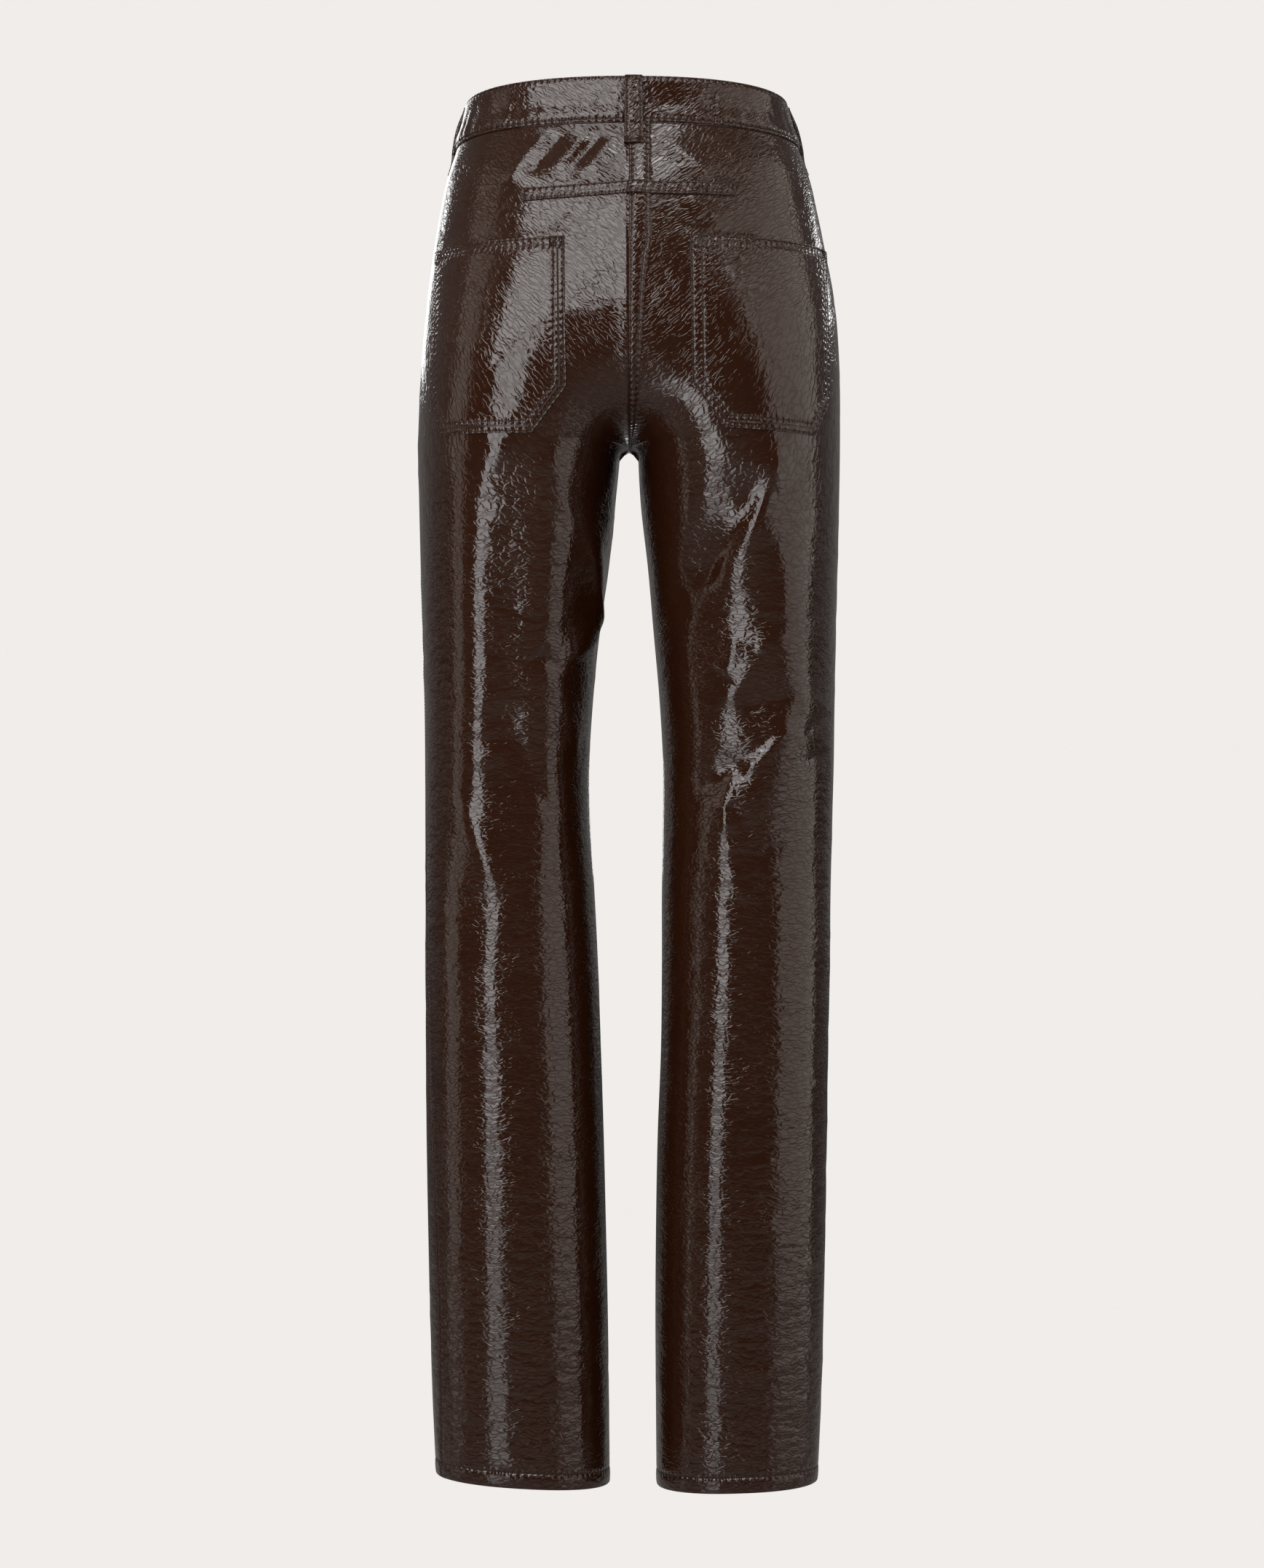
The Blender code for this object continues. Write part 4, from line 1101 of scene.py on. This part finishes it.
def belt_loop(name, side, turn, extra):
    """A strip of the band's cloth from its profile, with round edges and drawn-in stitches."""
    probe = np.linspace(turn - 15, turn + 15, 301)
    steps = np.linalg.norm(np.diff(base_form(side, probe, np.zeros(1)), axis=0), axis=1)
    lengths = np.concatenate([[0], np.cumsum(steps)])
    places = np.interp(turn, probe, lengths) + LOOP_STOPS - LOOP_WIDTH / 2
    knots = np.array(LOOP_PROFILE) * MM
    down = np.concatenate([knots[0, 0] + np.array([0, 0.25, 0.6]) * MM,
                           np.linspace(1.6 * MM, 52 * MM, 62),
                           knots[-1, 0] - np.array([0.6, 0.25, 0]) * MM])
    out = curve(knots[:, 0], knots[:, 1], down)[:, None] + extra
    turns, down = np.broadcast_arrays(np.interp(places, lengths, probe)[None, :], down[:, None])
    base = base_form(side, turns, down)
    way = outward(side, turns, down)
    across = np.minimum(LOOP_STOPS, LOOP_WIDTH - LOOP_STOPS)[None, :]
    along = np.minimum(down - knots[0, 0], knots[-1, 0] - down)
    edge = np.sqrt(1 - (1 - np.clip(np.minimum(across, along) / (0.7 * MM), 0, 1)) ** 2)
    sewn = LOOP_SEWN[0] * bell(across - LOOP_ROW, LOOP_SEWN[1])
    for tack in LOOP_TACKS:
        sewn = sewn + LOOP_TACKED[0] * bell(down - tack, LOOP_TACKED[1])
    between = np.clip((LOOP_STOPS - LOOP_ROW) / (LOOP_WIDTH - 2 * LOOP_ROW), 0, 1)[None, :]
    puff = LOOP_PUFF * np.sin(np.pi * between)
    thick = LOOP_EDGE + (LOOP_CLOTH - LOOP_EDGE) * edge - sewn + puff
    outer = base + (out + thick)[..., None] * way
    inner = base + out[..., None] * way
    piece = shell(name, outer, inner, hold_rows(len(down), 2), hold_rows(17, 2))
    facing(piece, way[0, 0])
    tacks = [outer[np.abs(down[:, 0] - tack).argmin(), 2:-2] for tack in LOOP_TACKS]
    row = np.abs(LOOP_STOPS - LOOP_ROW).argmin()
    sew(piece, outer[2:-2, row], outer[2:-2, -1 - row], *tacks)
    return piece


for name, (side, turn, extra) in LOOPS.items():
    piece = belt_loop("cloth_" + name, side, turn, extra)
    piece.data.materials.append(VINYL)
    piece.data.materials.append(BACKING)
    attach(piece, "root")
    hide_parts(name)


# ---- Button ----------------------------------------------------------------------------------
# A turned shank button of dark satin metal. Its shank goes through the band's upper end and holds
# the waist closed at the centre front.

BUTTON_DOWN = 18 * MM
# Half section of the button and its shank, as radius and height in mm.
BUTTON_PROFILE = ((0.6, 4.0), (2.6, 3.95), (4.6, 3.85), (5.2, 3.9), (5.7, 4.15), (6.2, 4.3),
                  (7.0, 4.32), (7.6, 4.2), (8.1, 3.95), (8.35, 3.5), (8.4, 3.1), (8.3, 2.7),
                  (7.9, 2.35), (7.0, 2.2), (4.5, 2.1), (3.1, 2.0), (2.8, 1.6), (2.6, 0.6),
                  (2.6, 0.05), (0.6, 0.0))
BUTTON_STEPS = 72
METAL_COLOUR = (0.10, 0.085, 0.075, 1)

metal, _ = principled("satin_metal", {"Base Color": METAL_COLOUR, "Metallic": 1.0,
                                      "Roughness": 0.32})
on_band = 0.95 * MM + BAND_LAP + SEAM_GAP
centre = round_waist(np.array(-90.0), np.array(BUTTON_DOWN), np.array(on_band))
turns = np.radians(np.linspace(0, 360, BUTTON_STEPS, endpoint=False))[:, None]
radius, height = (np.array(BUTTON_PROFILE) * MM).T
turned = np.broadcast_arrays(radius * np.cos(turns), -height, radius * np.sin(turns))
points = centre + np.stack(turned, axis=-1)
wide = len(BUTTON_PROFILE)
faces = [(a * wide + k, a * wide + k + 1, b * wide + k + 1, b * wide + k)
         for a, b in zip(range(BUTTON_STEPS), [*range(1, BUTTON_STEPS), 0]) for k in range(wide - 1)]
faces += [tuple(range(0, BUTTON_STEPS * wide, wide))]
faces += [tuple(range(wide - 1, BUTTON_STEPS * wide, wide))[::-1]]
mesh = bpy.data.meshes.new("turned_button")
mesh.from_pydata(points.reshape(-1, 3).tolist(), [], faces)
piece = bpy.data.objects.new("turned_button", mesh)
bpy.context.scene.collection.objects.link(piece)
facing(piece, (0, -1, 0))
mesh.materials.append(metal)
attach(piece, "root")
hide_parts("waist_button")


# ---- Stitches --------------------------------------------------------------------------------
# Every row is sewn with brown thread at 2.6 mm a stitch. The nodes follow the rows laid down
# above, put a short plump stitch at each step, and join them into one mesh.

STITCH_PITCH = 2.6 * MM
STITCH_SIZE = (1.95 * MM, 0.46 * MM, 0.36 * MM)
THREAD_COLOUR = (0.045, 0.0195, 0.0118, 1)


def stitch_nodes():
    """Nodes that set stitches along rows, upright on the rows' "up" directions."""
    tree = bpy.data.node_groups.new("stitches_along_rows", "GeometryNodeTree")
    sockets = (("Rows", "INPUT", "NodeSocketGeometry"), ("Pitch", "INPUT", "NodeSocketFloat"),
               ("Size", "INPUT", "NodeSocketVector"), ("Thread", "INPUT", "NodeSocketMaterial"),
               ("Stitches", "OUTPUT", "NodeSocketGeometry"))
    for name, way, kind in sockets:
        tree.interface.new_socket(name, in_out=way, socket_type=kind)
    given = tree.nodes.new("NodeGroupInput").outputs
    lines = node(tree, "GeometryNodeMeshToCurve", {0: given["Rows"]})
    steps = node(tree, "GeometryNodeResampleCurve", mode="LENGTH")
    fill(tree, steps, {"Curve": lines.outputs[0], "Length": given["Pitch"]})
    up = node(tree, "GeometryNodeInputNamedAttribute", {"Name": "up"}, data_type="FLOAT_VECTOR")
    turn = node(tree, "FunctionNodeAxesToRotation", {
        "Primary Axis": up.outputs["Attribute"],
        "Secondary Axis": tree.nodes.new("GeometryNodeInputTangent").outputs[0]},
        primary_axis="Z", secondary_axis="X")
    bead = node(tree, "GeometryNodeMeshUVSphere", {"Segments": 8, "Rings": 4, "Radius": 0.5})
    lying = node(tree, "GeometryNodeTransform", {
        "Geometry": bead.outputs["Mesh"], "Rotation": (0, math.radians(90), 0)})
    sized = node(tree, "GeometryNodeTransform", {
        "Geometry": lying.outputs[0], "Scale": given["Size"]})
    rounded = node(tree, "GeometryNodeSetShadeSmooth", {0: sized.outputs[0]})
    place = node(tree, "GeometryNodeInstanceOnPoints", {
        "Points": steps.outputs[0], "Instance": rounded.outputs[0], "Rotation": turn.outputs[0]})
    joined = node(tree, "GeometryNodeRealizeInstances", {0: place.outputs[0]})
    dyed = node(tree, "GeometryNodeSetMaterial", {
        "Geometry": joined.outputs[0], "Material": given["Thread"]})
    node(tree, "NodeGroupOutput", {0: dyed.outputs[0]})
    return tree


thread, _ = principled("brown_thread", {"Base Color": THREAD_COLOUR, "Roughness": 0.55})

places = [place for row in SEWN for place in row[0]]
ways = [way for row in SEWN for way in row[1]]
edges = []
start = 0
for row in SEWN:
    edges += [(start + k, start + k + 1) for k in range(len(row[0]) - 1)]
    start += len(row[0])
mesh = bpy.data.meshes.new("sewn_rows")
mesh.from_pydata(places, edges, [])
mesh.attributes.new("up", "FLOAT_VECTOR", "POINT").data.foreach_set("vector", np.ravel(ways))
rows = bpy.data.objects.new("sewn_rows", mesh)
bpy.context.scene.collection.objects.link(rows)
tree = stitch_nodes()
sewing = rows.modifiers.new("sewing", "NODES")
sewing.node_group = tree
inputs = {item.name: item.identifier for item in tree.interface.items_tree if item.in_out == "INPUT"}
sewing[inputs["Pitch"]] = STITCH_PITCH
sewing[inputs["Size"]] = STITCH_SIZE
sewing[inputs["Thread"]] = thread
done = bpy.data.meshes.new_from_object(rows.evaluated_get(bpy.context.evaluated_depsgraph_get()))
bpy.data.objects.remove(rows)
stitches = bpy.data.objects.new("stitches", done)
bpy.context.scene.collection.objects.link(stitches)
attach(stitches, "root")


# ---- Studio ----------------------------------------------------------------------------------
# A pale room. A wide soft box above to the left of the camera, two over the seat and two upright
# strips beside the legs make the highlights of the back. Large dim boxes stand at both sides, and
# three small ones and a larger one in front light the rims and the front.

CAMERA_PLACE = (-0.00226, 2.8, -0.525)
CAMERA_LENS = 82.83
WALL = (0.879, 0.847, 0.823, 1)
FLOOR_LEVEL = -1.32
WARM = (1, 0.90, 0.82)


def soft_box(name, place, aim, size, radiance, colour=(1, 1, 1)):
    """A rectangular lamp of a given brightness that the camera doesn't see."""
    lamp = bpy.data.lights.new(name, "AREA")
    lamp.color = colour
    lamp.shape = "RECTANGLE"
    lamp.size, lamp.size_y = size
    lamp.energy = radiance * math.pi * size[0] * size[1]
    made = bpy.data.objects.new(name, lamp)
    made.location = place
    towards = np.array(aim) - np.array(place)
    flat = math.hypot(towards[0], towards[1])
    made.rotation_euler = (math.atan2(flat, -towards[2]), 0,
                           math.atan2(towards[1], towards[0]) - math.pi / 2)
    made.visible_camera = False
    bpy.context.scene.collection.objects.link(made)
    return made


soft_box("key_box", (0.89, 1.816, 0.98), (-0.13, 0.07, -0.33), (2.0, 1.55), 3.0)
soft_box("upper_box", (-0.40, 1.25, 1.75), (0, 0.1, -0.15), (0.6, 0.5), 3.0)
soft_box("top_box", (0.05, 0.68, 1.69), (0, 0, -0.2), (1.1, 0.9), 2.2)
soft_box("low_strip", (0.42, 0.84, -0.42), (0.03, 0.05, -0.42), (0.38, 0.76), 2.6)
soft_box("foot_strip", (0.42, 0.84, -1.08), (0.03, 0.05, -1.08), (0.36, 0.56), 1.0)
soft_box("dim_right", (-1.84, 0.49, -0.1), (0, 0, -0.45), (2.6, 3.0), 0.68, WARM)
soft_box("dim_left", (1.89, 0.17, -0.3), (0, 0, -0.40), (0.7, 3.0), 0.48, WARM)
soft_box("between_legs", (0, -0.7, -0.56), (0, 0, -0.54), (0.10, 0.10), 1.0)
soft_box("front_box", (0.5, -2.3, 0.7), (0, 0, -0.4), (1.3, 1.3), 1.6)
soft_box("hip_left", (0.75, -0.9, 0.22), (0, 0, -0.05), (0.25, 0.10), 2.4)
soft_box("hip_right", (-0.75, -0.9, 0.14), (0, 0, -0.1), (0.25, 0.18), 2.4)

room = bpy.data.worlds.new("room")
bpy.context.scene.world = room
room.use_nodes = True
tree = room.node_tree
tree.nodes.clear()
# what the gloss mirrors of the room: dim walls, and darkness behind the camera
turned_away = node(tree, "ShaderNodeVectorMath", {
    0: tree.nodes.new("ShaderNodeTexCoord").outputs["Generated"], 1: (-0.259, -0.966, 0)},
    operation="DOT_PRODUCT").outputs["Value"]
walls = map_range(tree, turned_away, (-0.66, -0.50), (0.03, 0.12), "SMOOTHSTEP")
seen = node(tree, "ShaderNodeBackground", {"Color": WALL, "Strength": 1.0})
mirrored = node(tree, "ShaderNodeBackground", {"Color": (1, 0.97, 0.94, 1), "Strength": walls})
either = node(tree, "ShaderNodeMixShader", {
    0: tree.nodes.new("ShaderNodeLightPath").outputs["Is Camera Ray"],
    1: mirrored.outputs[0], 2: seen.outputs[0]})
node(tree, "ShaderNodeOutputWorld", {0: either.outputs[0]})

bpy.ops.mesh.primitive_plane_add(size=24, location=(0, 0, FLOOR_LEVEL))
floor = bpy.context.object
floor.name = "floor"
pale, tree = principled("pale_floor", {"Base Color": (0.35, 0.34, 0.33, 1), "Roughness": 0.9})
glow = node(tree, "ShaderNodeEmission", {"Color": WALL, "Strength": 1.0})
either = node(tree, "ShaderNodeMixShader", {
    0: tree.nodes.new("ShaderNodeLightPath").outputs["Is Camera Ray"],
    1: tree.nodes["Principled BSDF"].outputs[0], 2: glow.outputs[0]})
fill(tree, tree.nodes["Material Output"], {"Surface": either.outputs[0]})
floor.data.materials.append(pale)

camera = bpy.data.objects.new("camera", bpy.data.cameras.new("camera"))
camera.data.lens = CAMERA_LENS
camera.data.sensor_width = 36
camera.location = CAMERA_PLACE
camera.rotation_euler = (math.radians(90), 0, math.radians(180))
bpy.context.scene.collection.objects.link(camera)
bpy.context.scene.camera = camera
bpy.context.scene.view_settings.view_transform = "Standard"
